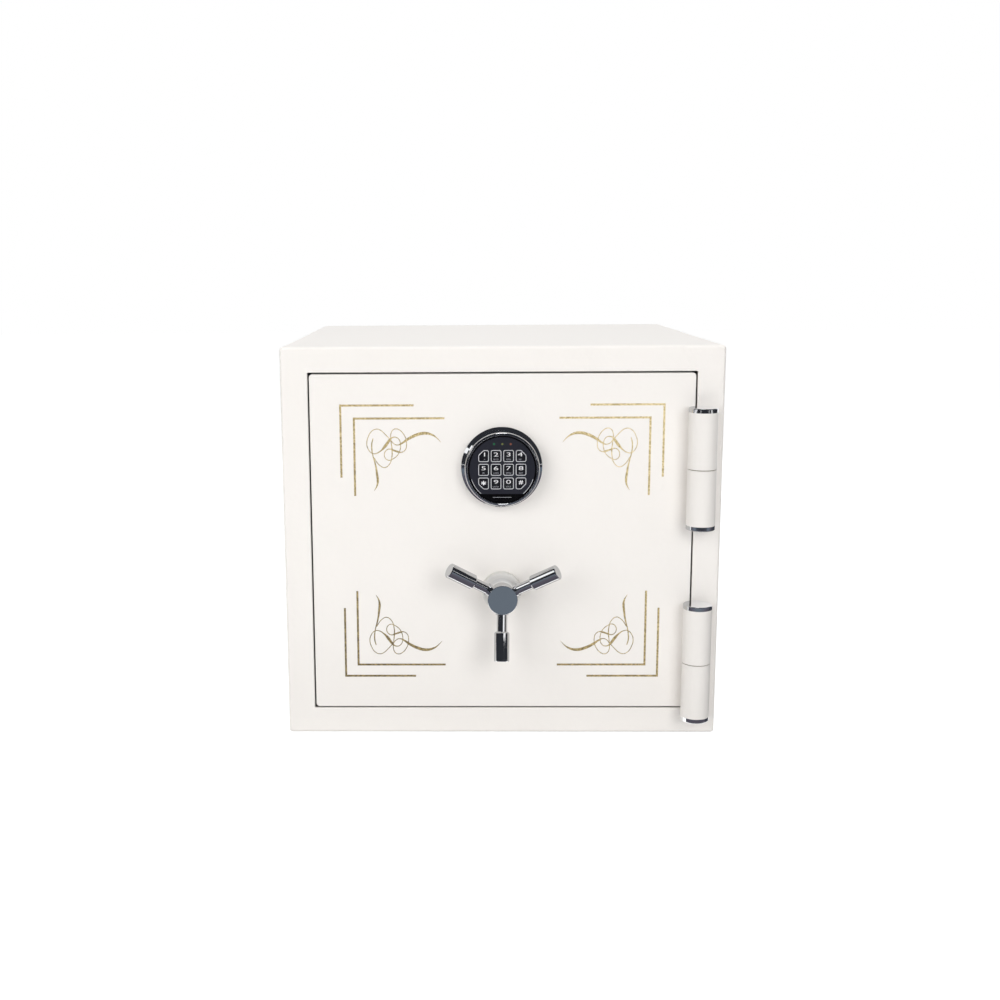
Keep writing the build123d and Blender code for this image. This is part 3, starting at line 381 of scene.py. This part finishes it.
def glitterGold():
    # metal flake bound in lacquer: clumps and single flakes differ, and a painted light makes the gold brighter high
    # up and to the right
    flake = {"size": 2600.0, "clump": 620.0, "deep": (0.170, 0.128, 0.062), "mid": (0.56, 0.43, 0.190),
             "bright": (0.96, 0.81, 0.47), "paintedLight": (0.75, 0.0, 1.33), "start": 0.134, "clumpSpan": 0.26,
             "flakeSpan": 0.18, "roughness": 0.42, "metallic": 0.2, "specular": 0.6, "roughFrom": 0.25,
             "roughTo": 0.6, "depth": 0.00008, "strength": 0.8}
    material, tree, shader = newMaterial("glitterGold", flake["roughness"], metallic=flake["metallic"],
                                         specular=flake["specular"])
    place = addNode(tree, "ShaderNodeTexCoord")
    flakes = addNode(tree, "ShaderNodeTexVoronoi", Scale=flake["size"])
    clumps = addNode(tree, "ShaderNodeTexVoronoi", Scale=flake["clump"])
    split = addNode(tree, "ShaderNodeSeparateColor")
    clumpSplit = addNode(tree, "ShaderNodeSeparateColor")
    # painted light: a slope that brightens the gold towards the top right
    paintedLight = addNode(tree, "ShaderNodeVectorMath", operation="DOT_PRODUCT")
    paintedLight.inputs[1].default_value = flake["paintedLight"]
    single = addNode(tree, "ShaderNodeMapRange", To_Min=-flake["flakeSpan"], To_Max=flake["flakeSpan"])
    clump = addNode(tree, "ShaderNodeMapRange", To_Min=flake["start"] - flake["clumpSpan"],
                    To_Max=flake["start"] + flake["clumpSpan"])
    first = addNode(tree, "ShaderNodeMath", operation="ADD")
    second = addNode(tree, "ShaderNodeMath", operation="ADD")
    ramp = addNode(tree, "ShaderNodeValToRGB")
    ramp.color_ramp.elements[0].color = (*flake["deep"], 1)
    ramp.color_ramp.elements[1].color = (*flake["bright"], 1)
    middle = ramp.color_ramp.elements.new(0.5)
    middle.color = (*flake["mid"], 1)
    for texture in (flakes, clumps, paintedLight):
        tree.links.new(place.outputs["Object"], texture.inputs[0])
    tree.links.new(flakes.outputs["Color"], split.inputs[0])
    tree.links.new(clumps.outputs["Color"], clumpSplit.inputs[0])
    tree.links.new(split.outputs[0], single.inputs["Value"])
    tree.links.new(clumpSplit.outputs[0], clump.inputs["Value"])
    tree.links.new(paintedLight.outputs["Value"], first.inputs[0])
    tree.links.new(single.outputs[0], first.inputs[1])
    tree.links.new(first.outputs[0], second.inputs[0])
    tree.links.new(clump.outputs[0], second.inputs[1])
    tree.links.new(second.outputs[0], ramp.inputs[0])
    tree.links.new(ramp.outputs[0], shader.inputs["Base Color"])
    spreadRoughness(tree, split.outputs[1], flake["roughFrom"], flake["roughTo"], shader)
    raiseHeight(tree, split.outputs[2], flake["depth"], flake["strength"], shader)
    return material


def rosePaint():
    # satin paint with a painted shade: the front face, shaded by the hub, is darker than the paler turned side; the
    # turn is measured forward from the back
    rose = {"face": (0.80, 0.785, 0.755), "side": (0.84, 0.83, 0.79), "roughness": 0.36, "wrinkle": 900.0,
            "depth": 0.00002, "turnFrom": 0.0085, "turnTo": 0.0070}
    face = rose["face"]
    material = sprayedPaint("rosePaint", face, face, rose["roughness"], rose["wrinkle"], rose["depth"])
    tree = material.node_tree
    shader = tree.nodes["Principled BSDF"]
    blend = shader.inputs["Base Color"].links[0].from_node
    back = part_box("handle_escutcheon")[1].y
    place = addNode(tree, "ShaderNodeTexCoord")
    split = addNode(tree, "ShaderNodeSeparateXYZ")
    side = addNode(tree, "ShaderNodeMapRange", From_Min=back - rose["turnFrom"], From_Max=back - rose["turnTo"])
    # the front face keeps the darker colour as painted shade, the turned side gets the paler one
    shade = addNode(tree, "ShaderNodeMix", data_type="RGBA")
    shade.inputs[7].default_value = (*rose["side"], 1)
    tree.links.new(place.outputs["Object"], split.inputs[0])
    tree.links.new(split.outputs["Y"], side.inputs["Value"])
    tree.links.new(side.outputs[0], shade.inputs[0])
    tree.links.new(blend.outputs[2], shade.inputs[6])
    tree.links.new(shade.outputs[2], shader.inputs["Base Color"])
    return material


# light and dark shade, roughness, size and depth of the wrinkle, and the painted darker shade that reflections see
creamCoat = ((0.928, 0.896, 0.860), (0.905, 0.871, 0.832), 0.36, 300.0, 0.00034, (0.56, 0.54, 0.52))
# the hinge coat is the cream coat made a little darker: painted shade on the hinge barrels
hingeShadedCoat = ((0.875, 0.846, 0.812), (0.852, 0.820, 0.783), 0.36, 300.0, 0.00034, (0.53, 0.51, 0.49))
finishes = {
    "cream_paint": sprayedPaint("creamPaint", *creamCoat),
    "inner_paint": sprayedPaint("innerPaint", (0.50, 0.49, 0.47), (0.45, 0.44, 0.42), 0.55, 900.0, 0.00005),
    "trim_paint": sprayedPaint("trimPaint", (0.070, 0.074, 0.080), (0.050, 0.053, 0.058), 0.50, 800.0, 0.00006),
    "chrome": polishedMetal("chrome", (0.93, 0.935, 0.95), (0.86, 0.87, 0.89), 0.045),
    "pale_rose": rosePaint(),
    "zinc_steel": brushedMetal("zincSteel", (0.62, 0.63, 0.62), (0.46, 0.47, 0.47), 0.34, (1.0, 14.0, 1.0)),
    "hard_steel": brushedMetal("hardSteel", (0.16, 0.16, 0.165), (0.09, 0.09, 0.095), 0.5, (20.0, 1.0, 1.0)),
    "brass_washer": brushedMetal("agedBrass", (0.34, 0.26, 0.14), (0.22, 0.165, 0.085), 0.4, (1.0, 1.0, 24.0)),
    "fill_board": fireBoard(),
    "carpet": carpetPile(),
    "seal": mouldedPlastic("sealRubber", (0.030, 0.030, 0.031), (0.018, 0.018, 0.019), 0.7,
                           grain=1200.0, depth=0.00005),
    "lead_pvc": mouldedPlastic("leadSheath", (0.030, 0.030, 0.032), (0.018, 0.018, 0.020), 0.45),
    "slate_plastic": mouldedPlastic("slatePlastic", (0.021, 0.022, 0.032), (0.015, 0.016, 0.024), 0.35, coat=0.1),
    "key_plastic": mouldedPlastic("keyPlastic", (0.007, 0.007, 0.011), (0.004, 0.004, 0.007), 0.32),
    "black_plastic": mouldedPlastic("blackGloss", (0.0035, 0.0035, 0.004), (0.002, 0.002, 0.0025), 0.12,
                                    coat=0.5, depth=0.000002),
    "base_plastic": mouldedPlastic("basePlastic", (0.014, 0.014, 0.015), (0.008, 0.008, 0.009), 0.5),
    "led_lens": ledLens(),
    "board_green": circuitBoard(),
    "cell_wrap": mouldedPlastic("cellWrap", (0.030, 0.034, 0.045), (0.020, 0.022, 0.030), 0.25),
}
# every node gets the finish of its slot; the frame gets its own with a painted dark shade in the jamb, and the hinges
# a darker copy of the cream coat as painted shade
for entry in frame["record"]["subparts"]:
    piece = nodes[entry["node"]]
    piece.data.materials.clear()
    piece.data.materials.append(finishes[entry["material_slot"]])
nodes["front_frame"].data.materials[0] = framePaint()
hingeShadedPaint = sprayedPaint("hingeShadedPaint", *hingeShadedCoat)
for name in ("hinge_body_knuckles", "hinge_door_knuckles"):
    nodes[name].data.materials[0] = hingeShadedPaint
gold = glitterGold()
printWhite = mouldedPlastic("printWhite", (0.93, 0.93, 0.95), (0.84, 0.84, 0.86), 0.5)
# pale line colour for the printed key outlines and for the plate's painted highlight arcs
printAndHighlightLine = mouldedPlastic("printAndHighlightLine", (0.92, 0.93, 0.96), (0.76, 0.77, 0.81), 0.5)
printGrey = mouldedPlastic("printGrey", (0.46, 0.47, 0.50), (0.36, 0.37, 0.40), 0.5)
print("finishes made")


def finishPiece(name, mesh, body, material):
    piece = bpy.data.objects.new(name, mesh)
    bpy.context.scene.collection.objects.link(piece)
    mesh.materials.clear()
    mesh.materials.append(material)
    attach(piece, body)
    return piece


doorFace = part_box("door_skin")[0].y

# gold corner ornament: two nested angles and a penned scroll in each corner, all in millimetres
ornament = {
    "lineWidth": 2.5, "paintThick": 0.12, "sink": 0.03, "widestPen": 3.7,
    "outerCorner": (197.0, 419.0), "outerLegs": (107.5, 330.0),
    "innerCorner": (180.5, 403.0), "innerLegs": (70.0, 307.0),
    "lowerOuterCorner": (196.0, 75.5), "lowerOuterLegs": (107.5, 164.0),
    "lowerInnerCorner": (180.0, 90.3), "lowerInnerLegs": (70.0, 186.0),
    "mirrorHeight": 247.2, "penThick": 0.5, "penSides": 2, "penSteps": 5,
}
scroll = [  # x, z and pen width along the main stroke
    (-74.3, 373.3, 0.3), (-79.4, 378.8, 1.2), (-85.0, 382.6, 2.3), (-94.3, 384.7, 3.6), (-105.6, 382.1, 3.7),
    (-115.0, 377.3, 3.2), (-122.6, 372.1, 2.0), (-127.3, 370.2, 1.1), (-131.9, 371.7, 1.0), (-135.2, 375.5, 1.0),
    (-143.0, 384.0, 1.0), (-147.6, 388.2, 1.0), (-152.8, 390.0, 1.0), (-158.9, 387.4, 1.0), (-163.7, 379.4, 1.0),
    (-165.2, 372.7, 1.0), (-163.9, 366.1, 1.0), (-158.4, 359.9, 1.0), (-153.7, 359.9, 1.1), (-148.0, 363.2, 1.5),
    (-142.3, 369.3, 3.6), (-137.5, 375.9, 3.2), (-134.2, 379.2, 1.5), (-130.0, 379.9, 1.1), (-126.2, 377.8, 1.0),
    (-124.0, 372.6, 1.0), (-124.5, 364.1, 1.0), (-127.9, 357.4, 1.0), (-134.0, 352.7, 1.0), (-138.3, 351.3, 1.0),
    (-142.5, 353.7, 1.0), (-143.8, 359.4, 1.0), (-141.4, 363.7, 1.0), (-137.6, 365.3, 1.1), (-133.0, 363.9, 2.0),
    (-127.4, 362.0, 2.3), (-122.7, 361.2, 1.1), (-117.9, 364.5, 1.0), (-116.5, 369.7, 1.0), (-116.9, 376.3, 1.0),
    (-119.6, 383.0, 1.0), (-124.2, 388.2, 1.0), (-128.9, 390.2, 1.0), (-133.1, 388.7, 1.0), (-135.5, 384.0, 1.0),
    (-135.8, 378.3, 1.0), (-134.9, 370.7, 1.1), (-134.2, 363.2, 1.5), (-134.8, 354.6, 1.1), (-137.4, 347.0, 1.0),
    (-143.6, 342.3, 1.0), (-149.2, 344.7, 1.0), (-153.8, 349.9, 1.0), (-156.1, 354.2, 1.0),
]
downStroke = [
    (-157.4, 378.4, 1.1), (-159.1, 371.8, 1.5), (-159.0, 364.2, 1.5), (-158.2, 358.5, 1.2), (-156.2, 350.9, 1.5),
    (-154.4, 343.3, 2.0), (-153.1, 333.7, 2.7), (-152.3, 326.1, 2.9), (-153.3, 319.9, 1.8), (-156.7, 313.5, 0.4),
]


def penStroke(points):
    # a smooth line whose thickness follows the pen, flattened onto the door
    curve = bpy.data.curves.new("stroke", "CURVE")
    curve.dimensions = "3D"
    curve.bevel_depth = ornament["penThick"] / 1000
    curve.bevel_resolution = ornament["penSides"]
    curve.resolution_u = ornament["penSteps"]
    curve.use_fill_caps = True
    spline = curve.splines.new("BEZIER")
    spline.bezier_points.add(len(points) - 1)
    for point, (x, z, width) in zip(spline.bezier_points, points):
        point.co = (x / 1000, 0, z / 1000)
        point.radius = width
        point.handle_left_type = point.handle_right_type = "AUTO"
    drawn = bpy.data.objects.new("stroke", curve)
    bpy.context.scene.collection.objects.link(drawn)
    mesh = bpy.data.meshes.new_from_object(drawn.evaluated_get(bpy.context.evaluated_depsgraph_get()))
    bpy.data.objects.remove(drawn)
    return mesh


def angleLine(bm, corner, legs, way):
    # one straight-sided angle, from the end of its level leg to the end of its upright leg
    half = ornament["lineWidth"] / 2000
    x, z = corner[0] / 1000, corner[1] / 1000
    endX, endZ = legs[0] / 1000, legs[1] / 1000
    flip = 1 if endZ < z else -1
    outline = [(endX, z + flip * half), (x + half, z + flip * half), (x + half, endZ), (x - half, endZ),
               (x - half, z - flip * half), (endX, z - flip * half)]
    corners = [bm.verts.new((way * px, 0, pz)) for px, pz in outline]
    face = bm.faces.new(corners)
    bmesh.ops.extrude_face_region(bm, geom=[face])
    bmesh.ops.translate(bm, verts=corners, vec=(0, -ornament["paintThick"] / 1000, 0))


def makeOrnament():
    lines = bmesh.new()
    for way in (-1, 1):
        for angle in ("outer", "inner", "lowerOuter", "lowerInner"):
            angleLine(lines, ornament[angle + "Corner"], ornament[angle + "Legs"], way)
    bmesh.ops.translate(lines, verts=lines.verts, vec=(0, doorFace + ornament["sink"] / 1000, 0))
    bmesh.ops.recalc_face_normals(lines, faces=lines.faces)
    mesh = bpy.data.meshes.new("cornerLines")
    lines.to_mesh(mesh)
    lines.free()
    finishPiece("cornerLines", mesh, "door", gold)
    swirls = bmesh.new()
    flat = ornament["paintThick"] / ornament["widestPen"]
    for points in (scroll, downStroke):
        stroke = penStroke(points)
        for mirrorX in (1, -1):
            for mirrorZ in (False, True):
                part = bmesh.new()
                part.from_mesh(stroke)
                bmesh.ops.scale(part, vec=(mirrorX, flat, -1 if mirrorZ else 1), verts=part.verts)
                lift = 2 * ornament["mirrorHeight"] / 1000 if mirrorZ else 0
                bmesh.ops.translate(part, verts=part.verts, vec=(0, doorFace, lift))
                bmesh.ops.recalc_face_normals(part, faces=part.faces)
                copy = bpy.data.meshes.new("copy")
                part.to_mesh(copy)
                part.free()
                swirls.from_mesh(copy)
    mesh = bpy.data.meshes.new("cornerScrolls")
    swirls.to_mesh(mesh)
    swirls.free()
    finishPiece("cornerScrolls", mesh, "door", gold)


makeOrnament()
print("corner ornament made")

# printing on the keys, in millimetres from the key's centre
printing = {"thick": 0.04, "outline": 0.60, "digit": 7.0, "digitLift": 1.9, "digitWide": 1.9,
            "bold": -0.004, "letters": 2.5, "lettersLift": -4.1, "lettersWide": 1.25,
            "star": 11.5, "starLift": 0.6, "hashLift": 1.2, "signBold": 0.018, "signWide": 1.2,
            "sink": 0.4, "weld": 0.005, "flatness": 0.01, "steps": 3}
printShift = {"key_1": 1.2, "key_4": -1.2}  # toward the key's middle, away from its large corner
keyFaces = {"key_1": ("1", "A"), "key_2": ("2", "BCD"), "key_3": ("3", "EFG"), "key_4": ("4", "HI"),
            "key_5": ("5", "JK"), "key_6": ("6", "LMN"), "key_7": ("7", "OPQ"), "key_8": ("8", "RST"),
            "key_star": ("*", ""), "key_9": ("9", "UVW"), "key_0": ("0", "XYZ"), "key_hash": ("#", "")}


def typeMesh(text, size, wide, bold):
    curve = bpy.data.curves.new("type", "FONT")
    curve.body = text
    curve.size = size / 1000
    curve.offset = bold * size / 1000
    curve.extrude = printing["thick"] / 2000
    curve.align_x = "CENTER"
    curve.align_y = "CENTER"
    curve.resolution_u = printing["steps"]
    drawn = bpy.data.objects.new("type", curve)
    bpy.context.scene.collection.objects.link(drawn)
    mesh = bpy.data.meshes.new_from_object(drawn.evaluated_get(bpy.context.evaluated_depsgraph_get()))
    bpy.data.objects.remove(drawn)
    bm = bmesh.new()
    bm.from_mesh(mesh)
    xs = [v.co.x for v in bm.verts]
    ys = [v.co.y for v in bm.verts]
    middle = Vector(((min(xs) + max(xs)) / 2, (min(ys) + max(ys)) / 2, 0))
    bmesh.ops.translate(bm, verts=bm.verts, vec=-middle)
    bmesh.ops.scale(bm, vec=(wide, 1, 1), verts=bm.verts)
    bmesh.ops.rotate(bm, verts=bm.verts, matrix=Matrix.Rotation(math.pi / 2, 3, "X"))
    return bm


def addType(target, text, size, wide, bold, place):
    bm = typeMesh(text, size, wide, bold)
    bmesh.ops.translate(bm, verts=bm.verts, vec=place)
    copy = bpy.data.meshes.new("copy")
    bm.to_mesh(copy)
    bm.free()
    target.from_mesh(copy)


def keyOutline(node):
    # a painted line round the flat top of the key, just inside its edge
    bm = bmesh.new()
    bm.from_mesh(nodes[node].data)
    bmesh.ops.remove_doubles(bm, verts=bm.verts, dist=printing["weld"] / 1000)
    front = min(v.co.y for v in bm.verts)
    away = [f for f in bm.faces if f.calc_center_median().y > front + printing["flatness"] / 1000]
    bmesh.ops.delete(bm, geom=away, context="FACES")
    bmesh.ops.dissolve_faces(bm, faces=bm.faces)
    middle = bm.faces[:]
    bmesh.ops.inset_region(bm, faces=middle, thickness=printing["outline"] / 1000,
                           use_even_offset=True, use_boundary=True)
    bmesh.ops.delete(bm, geom=middle, context="FACES")
    rim = bmesh.ops.extrude_face_region(bm, geom=bm.faces)["geom"]
    raised = [part for part in rim if isinstance(part, bmesh.types.BMVert)]
    bmesh.ops.translate(bm, verts=raised, vec=(0, -printing["thick"] / 1000, 0))
    bmesh.ops.recalc_face_normals(bm, faces=bm.faces)
    return bm


def makeKeyPrint(node, digit, letters):
    low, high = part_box(node)
    middle = (low + high) / 2
    top = low.y - printing["thick"] * printing["sink"] / 1000
    bm = keyOutline(node)
    mesh = bpy.data.meshes.new(node + "_outline")
    bm.to_mesh(mesh)
    bm.free()
    finishPiece(node + "_outline", mesh, node, printAndHighlightLine)
    bm = bmesh.new()
    size = printing["digit"]
    digitLift = printing["digitLift"] if letters else printing["hashLift"]
    if digit == "*":
        size, digitLift = printing["star"], printing["starLift"]
    across = middle.x + printShift.get(node, 0.0) / 1000
    lift = Vector((across, top, middle.z + digitLift / 1000))
    sign = digit in "*#"
    wide = printing["signWide"] if sign else printing["digitWide"]
    addType(bm, digit, size, wide, printing["signBold"] if sign else printing["bold"], lift)
    mesh = bpy.data.meshes.new(node + "_digit")
    bm.to_mesh(mesh)
    bm.free()
    finishPiece(node + "_digit", mesh, node, printWhite)
    if letters:
        bm = bmesh.new()
        lift = Vector((across, top, middle.z + printing["lettersLift"] / 1000))
        addType(bm, letters, printing["letters"], printing["lettersWide"], 0.0, lift)
        mesh = bpy.data.meshes.new(node + "_letters")
        bm.to_mesh(mesh)
        bm.free()
        finishPiece(node + "_letters", mesh, node, printGrey)


for node, (digit, letters) in keyFaces.items():
    makeKeyPrint(node, digit, letters)

# printing on the plate round the keys, and two painted highlight arcs along its edge, in millimetres from the middle
# of the keypad
platePrintAndHighlight = {"height": 342.5, "arcOut": 39.2, "arcIn": 38.75, "arcFrom": 198.0, "arcTo": 229.0,
              "arcSteps": 24, "barWide": 22.5, "barHigh": 0.42, "barDrop": 34.0, "thick": 0.03}


def paintedHighlightArc(startAngle, endAngle, frontY):
    # a painted highlight: a thin pale line along the edge of the plate, where its bevel would catch the light, spun
    # from one short edge
    bm = bmesh.new()
    start = math.radians(startAngle)
    ends = [bm.verts.new((math.cos(start) * r / 1000, frontY, (platePrintAndHighlight["height"] + math.sin(start) * r) / 1000))
            for r in (platePrintAndHighlight["arcIn"], platePrintAndHighlight["arcOut"])]
    edge = bm.edges.new(ends)
    bmesh.ops.spin(bm, geom=ends + [edge], cent=(0, frontY, platePrintAndHighlight["height"] / 1000), axis=(0, -1, 0),
                   dvec=(0, 0, 0), angle=math.radians(endAngle - startAngle), steps=platePrintAndHighlight["arcSteps"],
                   use_merge=False, use_duplicate=False)
    return bm


def raisePrintAndHighlight(name, bm, material):
    # a flat outline becomes a thin layer on the plate, for the print and for the painted highlight arcs
    sheet = bmesh.ops.extrude_face_region(bm, geom=bm.faces)["geom"]
    raised = [part for part in sheet if isinstance(part, bmesh.types.BMVert)]
    bmesh.ops.translate(bm, verts=raised, vec=(0, -platePrintAndHighlight["thick"] / 1000, 0))
    bmesh.ops.recalc_face_normals(bm, faces=bm.faces)
    mesh = bpy.data.meshes.new(name)
    bm.to_mesh(mesh)
    bm.free()
    finishPiece(name, mesh, "door", material)


def makePlatePrintAndHighlight():
    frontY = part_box("keypad_fascia")[0].y
    lines = bmesh.new()
    for way in (1, -1):
        bm = paintedHighlightArc(platePrintAndHighlight["arcFrom"], platePrintAndHighlight["arcTo"], frontY)
        bmesh.ops.scale(bm, vec=(way, 1, 1), verts=bm.verts)
        copy = bpy.data.meshes.new("copy")
        bm.to_mesh(copy)
        bm.free()
        lines.from_mesh(copy)
    # the two arcs are painted highlights along the plate's edge
    raisePrintAndHighlight("plateHighlightArcs", lines, printAndHighlightLine)
    bar = bmesh.new()
    bmesh.ops.create_grid(bar, x_segments=1, y_segments=1, size=0.0005)  # one millimetre square
    bmesh.ops.scale(bar, vec=(platePrintAndHighlight["barWide"], platePrintAndHighlight["barHigh"], 1), verts=bar.verts)
    bmesh.ops.rotate(bar, verts=bar.verts, matrix=Matrix.Rotation(math.pi / 2, 3, "X"))
    bmesh.ops.translate(bar, verts=bar.verts, vec=(0, frontY, (platePrintAndHighlight["height"] - platePrintAndHighlight["barDrop"]) / 1000))
    raisePrintAndHighlight("plateBar", bar, printGrey)


makePlatePrintAndHighlight()
print("keys printed")

# white floor, white surroundings, soft lamps and the cards that the bright metal mirrors
stageSet = {"floorSize": 9.0, "floorColour": 0.55, "floorLift": 0.87, "worldDiffuse": 0.26,
            "dark": (0.026, 0.028, 0.033), "white": (1, 1, 1)}
# floor card: distance in front of the safe's middle, and its shade
floorShades = [(0.45, (0.090, 0.085, 0.105)), (0.62, (0.112, 0.106, 0.130)), (0.80, (0.128, 0.137, 0.165)),
               (0.90, (0.138, 0.164, 0.195)), (1.12, (0.138, 0.164, 0.195)), (1.30, (0.060, 0.065, 0.080)),
               (1.90, (0.020, 0.020, 0.024))]


def seenRays(tree):
    # 1 for camera, glossy and transmission rays
    rays = addNode(tree, "ShaderNodeLightPath")
    first = addNode(tree, "ShaderNodeMath", operation="MAXIMUM")
    second = addNode(tree, "ShaderNodeMath", operation="MAXIMUM")
    tree.links.new(rays.outputs["Is Camera Ray"], first.inputs[0])
    tree.links.new(rays.outputs["Is Glossy Ray"], first.inputs[1])
    tree.links.new(first.outputs[0], second.inputs[0])
    tree.links.new(rays.outputs["Is Transmission Ray"], second.inputs[1])
    return second.outputs[0]


def makeFloor():
    material = bpy.data.materials.new("floorWhite")
    material.use_nodes = True
    tree = material.node_tree
    tree.nodes.remove(tree.nodes["Principled BSDF"])
    matt = addNode(tree, "ShaderNodeBsdfDiffuse", Color=(stageSet["floorColour"],) * 3 + (1,))
    glow = addNode(tree, "ShaderNodeEmission", Color=(1, 1, 1, 1))
    strength = addNode(tree, "ShaderNodeMath", operation="MULTIPLY")
    strength.inputs[1].default_value = stageSet["floorLift"]
    both = addNode(tree, "ShaderNodeAddShader")
    tree.links.new(seenRays(tree), strength.inputs[0])
    tree.links.new(strength.outputs[0], glow.inputs["Strength"])
    tree.links.new(matt.outputs[0], both.inputs[0])
    tree.links.new(glow.outputs[0], both.inputs[1])
    tree.links.new(both.outputs[0], tree.nodes["Material Output"].inputs["Surface"])
    bm = bmesh.new()
    bmesh.ops.create_grid(bm, x_segments=4, y_segments=4, size=stageSet["floorSize"])
    mesh = bpy.data.meshes.new("floor")
    bm.to_mesh(mesh)
    bm.free()
    floor = bpy.data.objects.new("floor", mesh)
    mesh.materials.append(material)
    bpy.context.scene.collection.objects.link(floor)


def makeCard(name, colour, strength, width, depth, place, aim=None, roll=0.0):
    # a card that only reflections see; it faces the point it aims at, or lies flat
    material = bpy.data.materials.new(name)
    material.use_nodes = True
    tree = material.node_tree
    tree.nodes.remove(tree.nodes["Principled BSDF"])
    glow = addNode(tree, "ShaderNodeEmission", Color=(*colour, 1), Strength=strength)
    tree.links.new(glow.outputs[0], tree.nodes["Material Output"].inputs["Surface"])
    bm = bmesh.new()
    bmesh.ops.create_grid(bm, x_segments=1, y_segments=1, size=0.5)
    bmesh.ops.scale(bm, vec=(width, depth, 1), verts=bm.verts)
    mesh = bpy.data.meshes.new(name)
    bm.to_mesh(mesh)
    bm.free()
    mesh.materials.append(material)
    card = bpy.data.objects.new(name, mesh)
    card.location = place
    if aim:
        turn = (Vector(aim) - Vector(place)).to_track_quat("-Z", "Y")
        card.rotation_euler = (turn @ Quaternion((0, 0, 1), math.radians(roll))).to_euler()
    card.visible_camera = False
    card.visible_diffuse = False
    card.visible_shadow = False
    card.visible_transmission = False
    bpy.context.scene.collection.objects.link(card)
    return tree, glow


def shadeFloorCard(tree, glow):
    # grey near the safe, blue-grey further out and dark at the far end
    place = addNode(tree, "ShaderNodeTexCoord")
    split = addNode(tree, "ShaderNodeSeparateXYZ")
    spread = addNode(tree, "ShaderNodeMapRange", From_Min=floorCard["near"], From_Max=-floorCard["near"])
    ramp = addNode(tree, "ShaderNodeValToRGB")
    points = ramp.color_ramp.elements
    length = 2 * floorCard["near"]
    for index, (distance, shade) in enumerate(floorShades):
        position = (distance + floorCard["middle"] + floorCard["near"]) / length
        point = points[index] if index < 2 else points.new(position)
        point.position = position
        point.color = (*shade, 1)
    tree.links.new(place.outputs["Object"], split.inputs[0])
    tree.links.new(split.outputs["Y"], spread.inputs["Value"])
    tree.links.new(spread.outputs[0], ramp.inputs[0])
    tree.links.new(ramp.outputs[0], glow.inputs["Color"])


def makeWorld():
    world = bpy.data.worlds.new("world")
    bpy.context.scene.world = world
    world.use_nodes = True
    tree = world.node_tree
    sky = tree.nodes["Background"]
    sky.inputs["Color"].default_value = (1, 1, 1, 1)
    spread = addNode(tree, "ShaderNodeMapRange", To_Min=stageSet["worldDiffuse"], To_Max=1.0)  # 1 is white
    tree.links.new(seenRays(tree), spread.inputs["Value"])
    tree.links.new(spread.outputs[0], sky.inputs["Strength"])


def makeLamp(name, place, aim, size, power):
    lampData = bpy.data.lights.new(name, "AREA")
    lampData.shape = "RECTANGLE"
    lampData.size, lampData.size_y = size
    lampData.energy = power
    lamp = bpy.data.objects.new(name, lampData)
    lamp.location = place
    lamp.rotation_euler = (Vector(aim) - Vector(place)).to_track_quat("-Z", "Y").to_euler()
    lamp.visible_glossy = False
    lamp.visible_camera = False
    bpy.context.scene.collection.objects.link(lamp)


lamps = {  # place, aim, size, power
    "keyRight": ((0.62, -1.75, 0.82), (0, -0.25, 0.22), (0.9, 0.9), 11.2),
    "fillLeft": ((-1.10, -1.45, 0.80), (0, -0.25, 0.22), (1.1, 1.1), 12.3),
    "lowFront": ((-0.05, -0.95, 0.08), (-0.05, -0.25, 0.08), (1.2, 0.14), 0.52),
    "sideRight": ((1.9, -1.2, 0.9), (0, -0.25, 0.22), (0.8, 1.0), 2.0),
    "rearLeft": ((-1.5, 1.7, 0.44), (0, 0.2, 0.30), (1.1, 0.7), 11.0),
    "rearRight": ((1.5, 1.7, 0.44), (0, 0.2, 0.30), (1.1, 0.7), 8.0),
    "topSoft": ((0.0, 0.15, 2.20), (0, 0.05, 0.45), (1.4, 1.4), 18.3),
}
cards = {  # colour, strength, width, depth, place, aim, roll
    "cardFront": (stageSet["dark"], 1.0, 7.0, 4.0, (0, -3.3, 2.0), (0, 0, 2.0)),
    "cardLeft": (stageSet["dark"], 1.0, 5.0, 4.0, (-3.3, -0.80, 2.0), (0, -0.80, 2.0)),
    "cardRight": (stageSet["dark"], 1.0, 5.0, 4.0, (3.3, -0.80, 2.0), (0, -0.80, 2.0)),
    "cardAbove": (stageSet["dark"], 1.0, 7.0, 3.4, (0, -1.7, 3.6)),
    "cardFloorRight": (stageSet["dark"], 2.0, 3.0, 1.3, (1.80, 0.35, 0.003)),
    "softBox": (stageSet["white"], 1.05, 1.03, 0.30, (-1.6, -1.18, 1.00), (0, -1.18, 1.00), -33.0),
    "strip": (stageSet["white"], 1.0, 0.95, 0.085, (0.974, -1.471, 0.52), (0, -0.33, 0.52), -12.0),
    "overhead": (stageSet["white"], 4.0, 0.9, 0.5, (0, -0.75, 3.0)),
}
floorCard = {"near": 1.45, "middle": -1.75, "wide": 6.0, "height": 0.004}
makeFloor()
makeWorld()
for name, lamp in lamps.items():
    makeLamp(name, *lamp)
for name, card in cards.items():
    makeCard(name, *card)
shadeFloorCard(*makeCard("cardFloor", stageSet["white"], 1.0, floorCard["wide"], 2 * floorCard["near"],
                         (0, floorCard["middle"], floorCard["height"])))
bpy.context.scene.view_settings.view_transform = "Standard"
print("stage lit")
